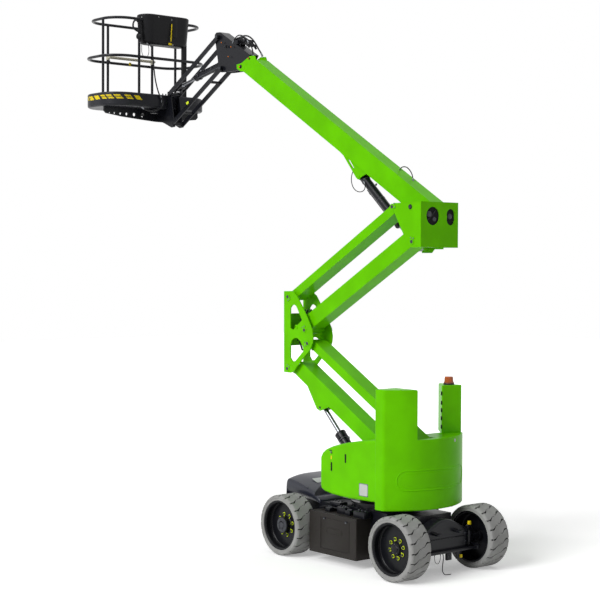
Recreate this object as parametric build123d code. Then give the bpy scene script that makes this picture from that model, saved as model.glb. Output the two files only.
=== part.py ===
# Articulating boom lift: wheeled chassis, turntable, two stacked parallelogram risers,
# main boom, level jib linkage and work cage. Millimetres, +X forward, +Y left, +Z up,
# ground at Z = 0, X = 0 half way between the axles.
import os
from math import atan2, cos, degrees, hypot, radians, sin, sqrt

from build123d import *

# ---- driving dimensions ---------------------------------------------------------------
WHEELBASE = 1860.0
OVERALL_WIDTH = 1500.0
TYRE_R = 352.0
TYRE_W = 290.0
RIM_R = 272.0
RIM_LIP_R = 284.0
RIM_WALL = 9.0
RIM_HALF = 128.0
DISC_Y = 26.0
DISC_T = 16.0
HUB_SHAFT_R = 32.0
RUN_GAP = 0.5
MOVE_GAP = 6.0
WEB = 12.0

AXLE_Z = TYRE_R
FRONT_X = WHEELBASE / 2
REAR_X = -WHEELBASE / 2
WHEEL_Y = (OVERALL_WIDTH - TYRE_W) / 2
KINGPIN_Y = 452.0
KINGPIN_R = 22.0
STEER_ARM = 140.0
TIE_Z = 262.0

DECK_TOP = 640.0
SLEW_X = -80.0
SLEW_R = 400.0
SLEW_TOP = 690.0
TAIL_R = 858.0
TAIL_BOTTOM = 711.0
LEDGE_Z = 1483.0
TOWER_Z = 2025.0
SIDE_Y = 615.0
CW_FRONT_X = -540.0
SLOT_LEFT = 300.0
SLOT_RIGHT = -330.0
CANOPY_Y = 585.0

RISER_Y = 131.0
RISER_ANGLE = 29.8
RISER_LEN = 2070.0
ARM_W = 200.0
THICK = 182.0
THIN = 105.0
WALL = 8.0
THICK_RISE = 75.0
BOSS_R = 44.0
PIN_R = 22.0
KNUCKLE_HALF = 156.0

MID_THICK_LOW = (1345.0, 2125.0)
MID_THIN_LOW = (978.0, 2441.0)
MID_THICK_UP = (1034.0, 2597.0)
MID_THIN_UP = (1345.0, 2982.0)

BOOM_Y = -140.0
BOOM_ANGLE = 31.0
BOOM_DEPTH = 240.0
BOOM_AXIS_Z0 = 4358.0
BOOM_PIVOT = (-735.0, 4003.0)
BOOM_TIP = (2715.0, 5880.0)
UPPER_HALF = 287.0

JIB_ANGLE = -30.5
JIB_LEN = 1270.0
HEAD_LOW = (3140.0, 5900.0)
HEAD_HIGH = (3212.0, 6308.0)
LINK_D = 62.0
LINK_W = 16.0

CAGE_X = 4795.0
TRAY_SIZE = (840.0, 1630.0, 320.0)
MID_SPREAD = (10.0, 20.0, 10.0)
TOP_DRAW = (80.0, 100.0, 30.0)
MID_RAIL_SIZE = tuple(size + more for size, more in zip(TRAY_SIZE, MID_SPREAD))
TOP_RAIL_SIZE = tuple(size - less for size, less in zip(TRAY_SIZE, TOP_DRAW))
TRAY_LOW = 5470.0
CAGE_FLOOR = 5505.0
SKIRT_TOP = 5657.0
MID_RAIL_Z = 6140.0
TOP_RAIL_Z = 6650.0
RAIL_R = 19.0

# the row's origin: ground level under the middle of the whole machine's bounding box
FRONT_END = CAGE_X + MID_RAIL_SIZE[0] / 2
REAR_END = REAR_X - TYRE_R
ORIGIN_X = (FRONT_END + REAR_END) / 2

os.makedirs("parts", exist_ok=True)


def rad_point(start, angle, length):
    return (start[0] + length * cos(radians(angle)), start[1] + length * sin(radians(angle)))


def slab(points, y0, y1):
    wire = Wire.make_polygon([Vector(x, y0, z) for x, z in points], close=True)
    return extrude(Face(wire), amount=y1 - y0, dir=(0, 1, 0))


def plan(points, z0, z1):
    wire = Wire.make_polygon([Vector(x, y, z0) for x, y in points], close=True)
    return extrude(Face(wire), amount=z1 - z0, dir=(0, 0, 1))


def block(x0, x1, y0, y1, z0, z1):
    return Pos((x0 + x1) / 2, (y0 + y1) / 2, (z0 + z1) / 2) * Box(x1 - x0, y1 - y0, z1 - z0)


def drum(x, z, y0, y1, r):
    return Pos(x, (y0 + y1) / 2, z) * Rot(90, 0, 0) * Cylinder(r, y1 - y0)


def rod(a, b, r):
    a, b = Vector(*a), Vector(*b)
    return Plane(origin=a, z_dir=b - a) * extrude(Circle(r), (b - a).length)


def ring(x, z, y0, y1, r, bore):
    return drum(x, z, y0, y1, r) - drum(x, z, y0 - 1, y1 + 1, bore)


def turned(profile, x, y, z, side=1):
    """profile: (radius, offset along the axle) turned about a line parallel to Y"""
    wire = Wire.make_polygon([Vector(r, 0, side * t) for r, t in profile], close=True)
    solid = revolve(Face(wire), Axis.Z, 360)
    return Pos(x, y, z) * Rot(-90, 0, 0) * solid


def save(name, shape):
    export_step(Pos(-ORIGIN_X, 0, 0) * shape, "parts/" + name + ".step")


# ---- wheels ---------------------------------------------------------------------------
TYRE_PROFILE = [
    (RIM_R, -RIM_HALF), (RIM_LIP_R, -RIM_HALF), (RIM_LIP_R, -TYRE_W / 2 + 4), (RIM_LIP_R + 4, -TYRE_W / 2),
    (TYRE_R - 20, -TYRE_W / 2), (TYRE_R - 4, -TYRE_W / 2 + 12), (TYRE_R, -TYRE_W / 2 + 34),
    (TYRE_R, TYRE_W / 2 - 34), (TYRE_R - 4, TYRE_W / 2 - 12), (TYRE_R - 20, TYRE_W / 2),
    (RIM_LIP_R + 4, TYRE_W / 2), (RIM_LIP_R, TYRE_W / 2 - 4), (RIM_LIP_R, RIM_HALF), (RIM_R, RIM_HALF),
]


def rim_profile(hub_r, hub_out, hub_in):
    """dished wheel: barrel with a lip each end, a disc inset from the outer face and a bored hub"""
    bore = HUB_SHAFT_R + RUN_GAP
    lip = RIM_HALF + 7
    inner = RIM_R - RIM_WALL
    return [
        (bore, hub_in), (hub_r, hub_in), (hub_r, DISC_Y - DISC_T / 2), (inner - 10, DISC_Y - DISC_T / 2),
        (inner, DISC_Y - DISC_T), (inner, -lip + 6), (inner + 6, -lip), (RIM_LIP_R, -lip), (RIM_LIP_R, -RIM_HALF),
        (RIM_R, -RIM_HALF), (RIM_R, RIM_HALF), (RIM_LIP_R, RIM_HALF), (RIM_LIP_R, lip), (inner + 6, lip),
        (inner, lip - 6), (inner, DISC_Y + DISC_T), (inner - 10, DISC_Y + DISC_T / 2),
        (hub_r + 8, DISC_Y + DISC_T / 2), (hub_r, DISC_Y + DISC_T / 2 + 8), (hub_r, hub_out), (hub_r * 0.55, hub_out + 9),
        (bore, hub_out + 9),
    ]


WHEELS = [  # name, x, side, hub radius, hub outer face, hub inner face
    ("front_left", FRONT_X, 1, 92.0, 96.0, -10.0),
    ("front_right", FRONT_X, -1, 92.0, 96.0, -10.0),
    ("rear_left", REAR_X, 1, 66.0, 62.0, -24.0),
    ("rear_right", REAR_X, -1, 66.0, 62.0, -24.0),
]
for name, x, side, hub_r, hub_out, hub_in in WHEELS:
    y = side * WHEEL_Y
    save("tyre_" + name, turned(TYRE_PROFILE, x, y, AXLE_Z, side))
    save("rim_" + name, turned(rim_profile(hub_r, hub_out, hub_in), x, y, AXLE_Z, side))

# ---- axles and steering ---------------------------------------------------------------
motor_end = WHEEL_Y - 22
front_axle = block(FRONT_X - 60, FRONT_X + 60, -400, 400, AXLE_Z - 60, AXLE_Z + 70)
for side in (1, -1):
    hub_out = side * (WHEEL_Y + 92)
    low, high = sorted((side * 340, side * motor_end))
    front_axle += drum(FRONT_X, AXLE_Z, low, high, 118)
    low, high = sorted((side * 390, side * 430))
    front_axle += drum(FRONT_X, AXLE_Z, low, high, 150)
    low, high = sorted((side * (motor_end - 5), hub_out))
    front_axle += drum(FRONT_X, AXLE_Z, low, high, HUB_SHAFT_R)
save("front_axle", front_axle)

LUG_R = 18.0
LUG_EDGE = 17.0
LUG_Z, LUG_T = 455.0, 20.0
LUG_Y = 170.0
FRONT_LUG_X, REAR_LUG_X = 1222.0, -1078.0


def tie_lug(root_x, hole_x, hole_y):
    """flat lug with a round end, bored upwards"""
    outer = LUG_R + LUG_EDGE
    low, high = sorted((root_x, hole_x))
    lug = block(low, high, hole_y - outer, hole_y + outer, LUG_Z, LUG_Z + LUG_T)
    lug += Pos(hole_x, hole_y, LUG_Z + LUG_T / 2) * Cylinder(outer, LUG_T)
    return lug - Pos(hole_x, hole_y, LUG_Z + LUG_T / 2) * Cylinder(LUG_R, LUG_T * 2)


beam_half = KINGPIN_Y - 60
COVER_REAR, COVER_FRONT, COVER_HALF = REAR_X - 90, REAR_X + 60, 334.0
COVER_SIDE = [(-COVER_HALF, 240), (COVER_HALF, 240), (COVER_HALF, 470), (250, 515), (60, 600), (-60, 600), (-250, 515),
              (-COVER_HALF, 470)]
cover_face = Face(Wire.make_polygon([Vector(COVER_REAR, y, z) for y, z in COVER_SIDE], close=True))
rear_axle = extrude(cover_face, amount=COVER_FRONT - COVER_REAR, dir=(1, 0, 0))
rear_axle += block(REAR_X - 55, REAR_X + 55, -beam_half, beam_half, AXLE_Z - 45, AXLE_Z + 60)
for side in (1, -1):
    tip = side * (KINGPIN_Y + 32)
    root = side * (beam_half - 60)
    low, high = sorted((root, tip))
    for z0, z1 in ((AXLE_Z - 112, AXLE_Z - 84), (AXLE_Z + 84, AXLE_Z + 112)):
        rear_axle += block(REAR_X - 42, REAR_X + 42, low, high, z0, z1)
    low, high = sorted((root, side * (beam_half)))
    rear_axle += block(REAR_X - 38, REAR_X + 38, low, high, AXLE_Z - 112, AXLE_Z + 112)
    rear_axle += Pos(REAR_X, side * KINGPIN_Y, AXLE_Z) * Cylinder(KINGPIN_R, 250)
    rear_axle += tie_lug(COVER_REAR, REAR_LUG_X, side * LUG_Y)
save("rear_axle", rear_axle)

for name, side in (("left", 1), ("right", -1)):
    kx, ky = REAR_X, side * KINGPIN_Y
    body = Pos(kx, ky, AXLE_Z) * Cylinder(44, 156)
    low, high = sorted((side * (KINGPIN_Y + 30), side * (WHEEL_Y - 32)))
    body += drum(kx, AXLE_Z, low, high, 52)
    low, high = sorted((side * (WHEEL_Y - 40), side * (WHEEL_Y + 56)))
    body += drum(kx, AXLE_Z, low, high, HUB_SHAFT_R)
    arm_y = side * KINGPIN_Y
    body += block(kx - STEER_ARM - 24, kx + 10, arm_y - 18, arm_y + 18, TIE_Z + 23, TIE_Z + 38)
    body += Pos(kx - STEER_ARM, arm_y, TIE_Z + 8) * Cylinder(11, 52)
    body -= Pos(kx, ky, AXLE_Z) * Cylinder(KINGPIN_R + RUN_GAP, 300)
    save("steer_knuckle_" + name, body)

tie_half = KINGPIN_Y
tie = rod((REAR_X - STEER_ARM, -tie_half, TIE_Z), (REAR_X - STEER_ARM, tie_half, TIE_Z), 15)
for side in (1, -1):
    eye = Pos(REAR_X - STEER_ARM, side * tie_half, TIE_Z)
    tie += eye * Cylinder(24, 34)
for side in (1, -1):
    tie -= Pos(REAR_X - STEER_ARM, side * tie_half, TIE_Z) * Cylinder(11 + RUN_GAP, 60)
save("tie_rod", tie)

# ---- chassis --------------------------------------------------------------------------
REAR_HALF = 242.0
MAIN_HALF = 400.0
MAIN_REAR = -520.0
DECK_REAR = COVER_FRONT
frame = block(DECK_REAR, 1180, -REAR_HALF, REAR_HALF, DECK_TOP - 18, DECK_TOP)
frame += block(MAIN_REAR, 620, -MAIN_HALF, MAIN_HALF, DECK_TOP - 18, DECK_TOP)
for side in (1, -1):
    low, high = sorted((side * (REAR_HALF - 14), side * REAR_HALF))
    frame += block(DECK_REAR, 1180, low, high, AXLE_Z - 20, DECK_TOP - 18)
    low, high = sorted((side * (MAIN_HALF - 12), side * MAIN_HALF))
    frame += block(MAIN_REAR, 620, low, high, 150, DECK_TOP - 18)
CROSS_X = [(DECK_REAR, DECK_REAR + 14, REAR_HALF), (MAIN_REAR, MAIN_REAR + 14, MAIN_HALF), (-20, -6, MAIN_HALF), (606, 620, MAIN_HALF),
           (1166, 1180, REAR_HALF)]
for x0, x1, half in CROSS_X:
    frame += block(x0, x1, -half, half, AXLE_Z - 20, DECK_TOP - 18)
frame += block(MAIN_REAR, 620, -MAIN_HALF, MAIN_HALF, 150, 162)
frame -= block(FRONT_X - 60, FRONT_X + 60, -REAR_HALF, REAR_HALF, AXLE_Z - 60, AXLE_Z + 70)
for side in (1, -1):
    frame += tie_lug(1180, FRONT_LUG_X, side * LUG_Y)
save("chassis_frame", frame)

slew = Pos(SLEW_X, 0, DECK_TOP + 22) * Cylinder(SLEW_R - 30, 44)
slew -= Pos(SLEW_X, 0, DECK_TOP + 22) * Cylinder(SLEW_R - 110, 60)
save("slew_ring", slew)

BOX_FRONT, BOX_REAR, BOX_TOP, BOX_LOW, BOX_OUT = 548.0, -250.0, 568.0, 104.0, 612.0
boxes = []
for side in (1, -1):
    inner, outer = side * MAIN_HALF, side * BOX_OUT
    low, high = sorted((inner, outer))
    box = plan([(BOX_REAR, inner), (BOX_REAR, outer), (BOX_FRONT, outer), (BOX_FRONT, inner)], BOX_LOW, BOX_TOP)
    corners = box.edges().filter_by(Axis.Z).filter_by(lambda e: abs(e.center().Y) > BOX_OUT - 1)
    box = fillet(corners, 10)
    box -= block(BOX_REAR + 14, BOX_FRONT - 14, *sorted((side * (MAIN_HALF - 1), side * (BOX_OUT - 14))),
                 BOX_LOW + 14, BOX_TOP - 14)
    panel = side * BOX_OUT
    box -= block(BOX_REAR + 110, BOX_FRONT - 200, *sorted((panel - side * 5, panel + side * 5)), 165, 520)
    boxes.append(box)
save("side_boxes", Compound(children=boxes))

HOOD_HALF = 425.0
CROWN_HALF = 330.0
HOOD_FRONT, HOOD_LOW, HOOD_LIP = 1198.0, 560.0, 1150.0
HOOD_SIDE = [(560, 640), (700, 730), (860, 798), (1010, 830), (1150, 848), (1186, 838), (HOOD_FRONT, 803)]
HOOD_CROWN = [(560, 640), (690, 758), (860, 842), (1010, 874), (1150, 890), (1186, 879), (HOOD_FRONT, 843)]
HOOD_WALL = 10.0
SWING_R = TAIL_R + 14
SWING_Z = SLEW_TOP


def swing_clear(radius, low):
    """room swept by the counterweight as it passes over the hood"""
    return Pos(SLEW_X, 0, low + 200) * Cylinder(radius, 400)


def hood_face(points, y, wall=0.0):
    """side view at this Y: three arcs through the points, then down the front and back along the deck"""
    z_low = DECK_TOP - 100 if wall else HOOD_LOW
    top = [Vector(min(x + wall, HOOD_FRONT - wall), y, z - wall) for x, z in points]
    if wall:
        low = [Vector(HOOD_FRONT - wall, y, z_low), Vector(points[0][0] + wall, y, z_low)]
    else:
        low = [Vector(HOOD_FRONT, y, z_low), Vector(HOOD_LIP, y, z_low), Vector(HOOD_LIP, y, DECK_TOP)]
    edges = [ThreePointArc(*top[k:k + 3]) for k in (0, 2, 4)]
    path = [top[-1]] + low + [top[0]]
    edges += [Line(a, b) for a, b in zip(path, path[1:])]
    return Face(Wire(edges))


def hood_body(shrink, wall):
    crown = hood_face(HOOD_CROWN, shrink - CROWN_HALF, wall)
    body = extrude(crown, amount=2 * (CROWN_HALF - shrink), dir=(0, 1, 0))
    for side in (1, -1):
        inner_face = hood_face(HOOD_CROWN, side * (CROWN_HALF - shrink), wall)
        body += loft([inner_face, hood_face(HOOD_SIDE, side * (HOOD_HALF - shrink), wall)], ruled=True)
    return body


hood = hood_body(0.0, 0.0) - swing_clear(SWING_R, SWING_Z)
hood -= hood_body(HOOD_WALL, HOOD_WALL) - swing_clear(SWING_R + HOOD_WALL, SWING_Z - HOOD_WALL)
save("front_hood", hood)

# ---- turntable ------------------------------------------------------------------------
LOW_THICK = rad_point(MID_THICK_LOW, RISER_ANGLE + 180, RISER_LEN)
LOW_THIN = rad_point(MID_THIN_LOW, RISER_ANGLE + 180, RISER_LEN)
LIFT_BASE = (-40.0, 808.0)
POST_IN = RISER_Y + ARM_W / 2 + 12
POST_OUT = RISER_Y - ARM_W / 2 - 12
table = Pos(SLEW_X, 0, SLEW_TOP + 5.5) * Cylinder(SLEW_R, 22)
POST = [(-860, 704), (-860, 1440), (-800, 1466), (-700, 1440), (-380, 1180), (-360, 1060), (-300, 900), (60, 860),
        (90, 704)]
for y0 in (POST_IN, POST_OUT - WEB):
    table += slab(POST, y0, y0 + WEB)
table += block(-440, 350, -300, 300, SLEW_TOP + 4, SLEW_TOP + 20)
table += block(-860, -400, -280, 280, SLEW_TOP + 10, TAIL_BOTTOM)
for x, z in (LOW_THICK, LOW_THIN, LIFT_BASE):
    table += drum(x, z, POST_OUT - WEB, POST_IN + WEB, PIN_R)
save("turntable_frame", table)


CW_EDGE_R = 14.0
CREASE_R = 60.0
TOWER_R = 22.0


def tail_plan(half_y, radius, z0, z1):
    """straight sides joined by the tail's arc about the slew axis, extruded upwards"""
    reach = sqrt(radius * radius - half_y * half_y)
    a, b = (CW_FRONT_X, half_y), (SLEW_X - reach, half_y)
    c, d = (SLEW_X - reach, -half_y), (CW_FRONT_X, -half_y)
    edges = [Line(a, b), ThreePointArc(b, (SLEW_X - radius, 0), c), Line(c, d), Line(d, a)]
    return Pos(0, 0, z0) * extrude(Face(Wire(edges)), amount=z1 - z0, dir=(0, 0, 1))


def upright(edge, x, tolerance=2.0):
    return abs(edge.center().X - x) < tolerance


weight = tail_plan(SIDE_Y, TAIL_R, TAIL_BOTTOM, TOWER_Z)
crease_x = SLEW_X - sqrt(TAIL_R ** 2 - SIDE_Y ** 2)
uprights = weight.edges().filter_by(Axis.Z)
weight = fillet([edge for edge in uprights if upright(edge, crease_x)], CREASE_R)
uprights = weight.edges().filter_by(Axis.Z)
weight = fillet([edge for edge in uprights if upright(edge, CW_FRONT_X)], TOWER_R)
weight = fillet(weight.faces().sort_by(Axis.Z)[0].edges(), CW_EDGE_R)
weight -= block(CW_FRONT_X - 500, CW_FRONT_X + 1, -700, SLOT_LEFT, LEDGE_Z, TOWER_Z + 1)
weight = fillet(weight.faces().sort_by(Axis.Z)[-1].edges(), CW_EDGE_R)
POCKET_X = -872.0
weight -= block(POCKET_X, CW_FRONT_X + 1, POST_OUT - WEB - MOVE_GAP, POST_IN + WEB + MOVE_GAP, TAIL_BOTTOM - 1,
                LEDGE_Z + 1)
save("counterweight", weight)

BEACON_XY = (-556.0, -512.0)
TOWER_PLAN = [(-622, -333), (-668, -608), (-345, -600), (-345, -560)]
tower = plan(TOWER_PLAN, LEDGE_Z, TOWER_Z - 5)
tower = fillet(tower.edges().filter_by(Axis.Z), 10)
tower = fillet(tower.faces().sort_by(Axis.Z)[-1].edges(), 8)
save("right_tower", tower)

CANOPY = [(CW_FRONT_X, 782), (-80, 772), (200, 786), (330, 806), (385, 836), (398, 880), (398, 1190), (370, 1240),
          (310, 1286), (200, 1330), (90, 1362), (-80, 1400), (-300, 1440), (CW_FRONT_X, 1472)]
CANOPY_IN = [(CW_FRONT_X - 1, 700), (388, 700), (388, 1186), (362, 1232), (304, 1276), (196, 1320), (87, 1352),
             (-82, 1390), (-302, 1430), (CW_FRONT_X - 1, 1462)]
CANOPY_EDGE_R = 34.0
CANOPY_WALL = 20.0
for name, side, inner in (("left", 1, 272.0), ("right", -1, 322.0)):
    low, high = sorted((side * inner, side * CANOPY_Y))
    cover = slab(CANOPY, low, high)
    outer = cover.faces().sort_by(Axis.Y)[-1 if side > 0 else 0]
    rim = [edge for edge in outer.edges() if edge.center().X > CW_FRONT_X + 1]
    cover = fillet(rim, CANOPY_EDGE_R)
    cover -= slab(CANOPY_IN, low + 10 if side > 0 else low + CANOPY_WALL, high - CANOPY_WALL if side > 0 else high - 10)
    save("canopy_" + name, cover)

beacon = Pos(*BEACON_XY, TOWER_Z - 5 + 14) * Cylinder(60, 28)
beacon += Pos(*BEACON_XY, TOWER_Z - 5 + 28 + 32) * Cone(52, 46, 64)
save("beacon", beacon)

# ---- risers ---------------------------------------------------------------------------


def arm(start, end, depth, rise, y0, y1, trim0, trim1, wall):
    """hollow box beam between two pins, its section raised above the pin line, with a bored boss at each pin"""
    angle = degrees(atan2(end[1] - start[1], end[0] - start[0]))
    length = hypot(end[0] - start[0], end[1] - start[1])
    up = rise - depth / 2
    beam = block(trim0, length - trim1, y0, y1, up, up + depth)
    beam -= block(trim0 - 1, length - trim1 + 1, y0 + wall, y1 - wall, up + wall, up + depth - wall)
    for x, trim, sign in ((0.0, trim0, 1), (length, trim1, -1)):
        reach = x + sign * (trim + 60)
        low, high = sorted((x, reach))
        side_low, side_high = y0 + wall, y1 - wall
        cheek = [(x, -BOSS_R * 0.9), (reach, up + 12), (reach, up + depth - 12), (x, BOSS_R * 0.9)]
        for ya in (side_low, side_high - WEB):
            beam += slab(cheek, ya, ya + WEB)
        beam += drum(x, 0, y0 - 4, y1 + 4, BOSS_R)
        beam -= drum(x, 0, y0 - 20, y1 + 20, PIN_R + RUN_GAP)
    return Pos(start[0], 0, start[1]) * Rot(0, -angle, 0) * beam


arm_low = RISER_Y - ARM_W / 2
arm_high = RISER_Y + ARM_W / 2
LIFT_PIN = (850.0, 1690.0)
LIFT_LUG = [(1118.0, 1990.0), (905.0, 1672.0), (850.0, 1652.0), (816.0, 1662.0), (640.0, 1730.0), (700.0, 1790.0)]
LIFT_LUG_Y = (RISER_Y - 70, RISER_Y + 58)
lower_arm = arm(LOW_THICK, MID_THICK_LOW, THICK, THICK_RISE, arm_low, arm_high, 60, 110, WALL)
for y0 in LIFT_LUG_Y:
    lower_arm += slab(LIFT_LUG, y0, y0 + WEB)
    lower_arm -= drum(LIFT_PIN[0], LIFT_PIN[1], y0 - 1, y0 + WEB + 1, PIN_R - 4)
save("lower_arm", lower_arm)
save("lower_tie", arm(LOW_THIN, MID_THIN_LOW, THIN, 0, arm_low, arm_high, 30, 34, WALL))

UP_ANGLE = 180 - RISER_ANGLE
TOP_THICK = rad_point(MID_THICK_UP, UP_ANGLE, RISER_LEN)
TOP_THIN = rad_point(MID_THIN_UP, UP_ANGLE, RISER_LEN)
save("upper_arm", arm(TOP_THICK, MID_THICK_UP, THICK, THICK_RISE, arm_low, arm_high, 40, 40, WALL))
save("upper_tie", arm(TOP_THIN, MID_THIN_UP, THIN, 0, arm_low, arm_high, 30, 34, WALL))

MID_OUTLINE = [(1418, 3048), (1268, 3052), (1175, 2995), (999, 2769), (898, 2614), (879, 2521), (887, 2451),
               (932, 2366), (1059, 2266), (1233, 2095), (1290, 2078), (1411, 2080)]
UPPER_WINDOW = [(1294, 2849), (1262, 2882), (1229, 2893), (1190, 2876), (1164, 2841), (1090, 2725), (1080, 2713),
                (1246, 2589), (1294, 2610)]
LOWER_WINDOW = [(1291, 2408), (1270, 2462), (1225, 2494), (1171, 2497), (1110, 2462), (1060, 2385), (1050, 2350),
                (1200, 2222), (1250, 2216), (1291, 2260)]
knuckle_y = (RISER_Y - KNUCKLE_HALF, RISER_Y + KNUCKLE_HALF)
middle = slab(MID_OUTLINE, knuckle_y[1] - WEB, knuckle_y[1])
middle += slab(MID_OUTLINE, knuckle_y[0], knuckle_y[0] + WEB)
for window in (UPPER_WINDOW, LOWER_WINDOW):
    middle -= slab(window, knuckle_y[0] - 1, knuckle_y[1] + 1)
for x, z in (MID_THICK_LOW, MID_THIN_LOW, MID_THICK_UP, MID_THIN_UP):
    middle += drum(x, z, knuckle_y[0], knuckle_y[1] + 8, PIN_R)
middle += ring(1181, 2627, knuckle_y[0], knuckle_y[1] + 6, 26, 14)
middle += block(1394, 1408, knuckle_y[0], knuckle_y[1], 2395, 2780)
save("middle_knuckle", middle)

# ---- upper knuckle and main boom ------------------------------------------------------
UPPER_REAR, UPPER_LOW, UPPER_TOP = -899.0, 3563.0, 4058.0
NEAR_OUTLINE = [(-431, 4041), (-560, 4052), (-894, UPPER_TOP), (UPPER_REAR, UPPER_LOW), (-735, UPPER_LOW), (-640, 3687)]
FAR_OUTLINE = [(-500, 4041), (-560, 4052), (-894, UPPER_TOP), (UPPER_REAR, UPPER_LOW), (-560, UPPER_LOW),
               (-500, 3506), (-350, 3506), (-336, 3600)]
NEAR_HOLE = (-733.0, 4009.0)
NEAR_HOLE_R = 22.0
BOOM_LIFT_BASE = (-430.0, 3558.0)
EYE_HALF = 40.0
upper = slab(NEAR_OUTLINE, UPPER_HALF - WEB, UPPER_HALF)
upper -= drum(NEAR_HOLE[0], NEAR_HOLE[1], UPPER_HALF - WEB - 1, UPPER_HALF + 1, NEAR_HOLE_R)
for y0 in (knuckle_y[0], -UPPER_HALF):
    upper += slab(FAR_OUTLINE, y0, y0 + WEB)
REAR_HOLES = [  # across, height, radius, straight part above and below the middle
    (103.0, 3904.0, 100.0, 0.0),
    (-170.0, 3897.0, 62.0, 28.0),
]
rear_plate = block(UPPER_REAR, UPPER_REAR + WEB, -UPPER_HALF, UPPER_HALF, UPPER_LOW, UPPER_TOP)
for y, z, r, rise in REAR_HOLES:
    for middle_z in (z - rise, z + rise):
        rear_plate -= Pos(UPPER_REAR, y, middle_z) * Rot(0, 90, 0) * Cylinder(r, WEB * 4)
    rear_plate -= Pos(UPPER_REAR, y, z) * Box(WEB * 4, r * 2, rise * 2 + 0.01)
upper += rear_plate
upper += block(UPPER_REAR, UPPER_REAR + 114, -UPPER_HALF, UPPER_HALF, UPPER_LOW, UPPER_LOW + WEB)
upper += block(UPPER_REAR, UPPER_REAR + 79, knuckle_y[0], UPPER_HALF, UPPER_TOP - 14, UPPER_TOP - 2)
for x, z in (TOP_THICK, TOP_THIN):
    upper += drum(x, z, knuckle_y[0], UPPER_HALF + 8, PIN_R)
upper += drum(BOOM_PIVOT[0], BOOM_PIVOT[1], -UPPER_HALF - 6, knuckle_y[0] + WEB, PIN_R + 6)
for y0, y1 in ((-UPPER_HALF - 4, BOOM_Y - EYE_HALF - RUN_GAP), (BOOM_Y + EYE_HALF + RUN_GAP, knuckle_y[0] + WEB)):
    upper += drum(BOOM_LIFT_BASE[0], BOOM_LIFT_BASE[1], y0, y1, PIN_R)
upper += Pos(UPPER_REAR + 99, -95, UPPER_LOW - 9) * Cylinder(48, 18)
save("upper_knuckle", upper)

BOOM_LIFT_PIN = (494.0, 4394.0)
slope = sin(radians(BOOM_ANGLE)) / cos(radians(BOOM_ANGLE))


def boom_point(along, above):
    """point of the boom's side view: distance along its axis from X = 0 and height over the axis"""
    c, s = cos(radians(BOOM_ANGLE)), sin(radians(BOOM_ANGLE))
    return (along * c - above * s, BOOM_AXIS_Z0 + along * s + above * c)


half = BOOM_DEPTH / 2
boom_low, boom_high = BOOM_Y - 100, BOOM_Y + 100
BOOM_SIDE = [boom_point(-880, half), boom_point(-930, 40), boom_point(-880, -half), boom_point(3040, -half),
             boom_point(2870, half)]
INNER_SIDE = [boom_point(-1200, half - WALL), boom_point(-1200, -half + WALL), boom_point(3400, -half + WALL),
              boom_point(3400, half - WALL)]
boom = slab(BOOM_SIDE, boom_low, boom_high) - slab(INNER_SIDE, boom_low + WALL, boom_high - WALL)
boom += ring(BOOM_PIVOT[0], BOOM_PIVOT[1], boom_low - 8, boom_high + 8, 52, PIN_R + 6 + RUN_GAP)
boom -= drum(BOOM_PIVOT[0], BOOM_PIVOT[1], boom_low - 20, boom_high + 20, PIN_R + 6 + RUN_GAP)
TIP_PLATE = [(2400, 5930), (2430, 5990), (2530, 5996), (2700, 5925), (2800, 5914), (2800, 5862), (2720, 5822),
             (2560, 5800)]
for y0 in (boom_low + WALL, boom_high - WALL - WEB):
    boom += slab(TIP_PLATE, y0, y0 + WEB)
    boom -= drum(BOOM_TIP[0], BOOM_TIP[1], y0 - 1, y0 + WEB + 1, PIN_R + RUN_GAP)
LIFT_BRACKET = [boom_point(1050, -half + 4), (760, 4650), (540, 4385), (510, 4362), (478, 4362), (455, 4385),
                (330, 4432), boom_point(440, -half + 4)]
LIFT_BRACKET_HOLE = [(690, 4610), (640, 4585), (575, 4500), (590, 4490)]
for y0 in (BOOM_Y - 72, BOOM_Y + 72 - WEB):
    boom += slab(LIFT_BRACKET, y0, y0 + WEB)
    boom -= slab(LIFT_BRACKET_HOLE, y0 - 1, y0 + WEB + 1)
boom += drum(BOOM_LIFT_PIN[0], BOOM_LIFT_PIN[1], BOOM_Y - 78, BOOM_Y + 78, PIN_R - 4)
save("main_boom", boom)

# ---- boom head and jib linkage --------------------------------------------------------
HEAD_OUTLINE = [(2556, 6018), (3180, 6372), (3262, 6376), (3296, 6350), (3284, 6270), (3196, 5866), (3150, 5850),
                (3060, 5844), (2700, 5838), (2672, 5850), (2660, 5890)]
JIB_BASE = (3100.0, 5985.0)
JIB_PIN_R = 16.0
HEAD_HOLE = (3040.0, 6170.0)
JIB_EYE_HALF = 26.0
head_in, head_out = boom_high - WALL - WEB - 6, boom_low + WALL + WEB + 6
head = slab(HEAD_OUTLINE, head_in - WEB, head_in) + slab(HEAD_OUTLINE, head_out, head_out + WEB)
HEAD_TOP = [HEAD_OUTLINE[0], HEAD_OUTLINE[1], (3184, 6362), (2560, 6008)]
head += slab(HEAD_TOP, head_out, head_in)
for x, z in (BOOM_TIP, HEAD_HIGH):
    head += drum(x, z, boom_low + 2, boom_high - 2, PIN_R)
for y0, y1 in ((boom_low + 2, head_out + WEB), (head_in - WEB, boom_high - 2)):
    head += drum(HEAD_LOW[0], HEAD_LOW[1], y0, y1, PIN_R)
head -= drum(HEAD_HOLE[0], HEAD_HOLE[1], boom_low, boom_high, 20)
head += drum(BOOM_TIP[0], BOOM_TIP[1], head_out, head_in, 34)
head += drum(JIB_BASE[0], JIB_BASE[1], head_out, head_in, JIB_PIN_R)
save("boom_head", head)

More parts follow.
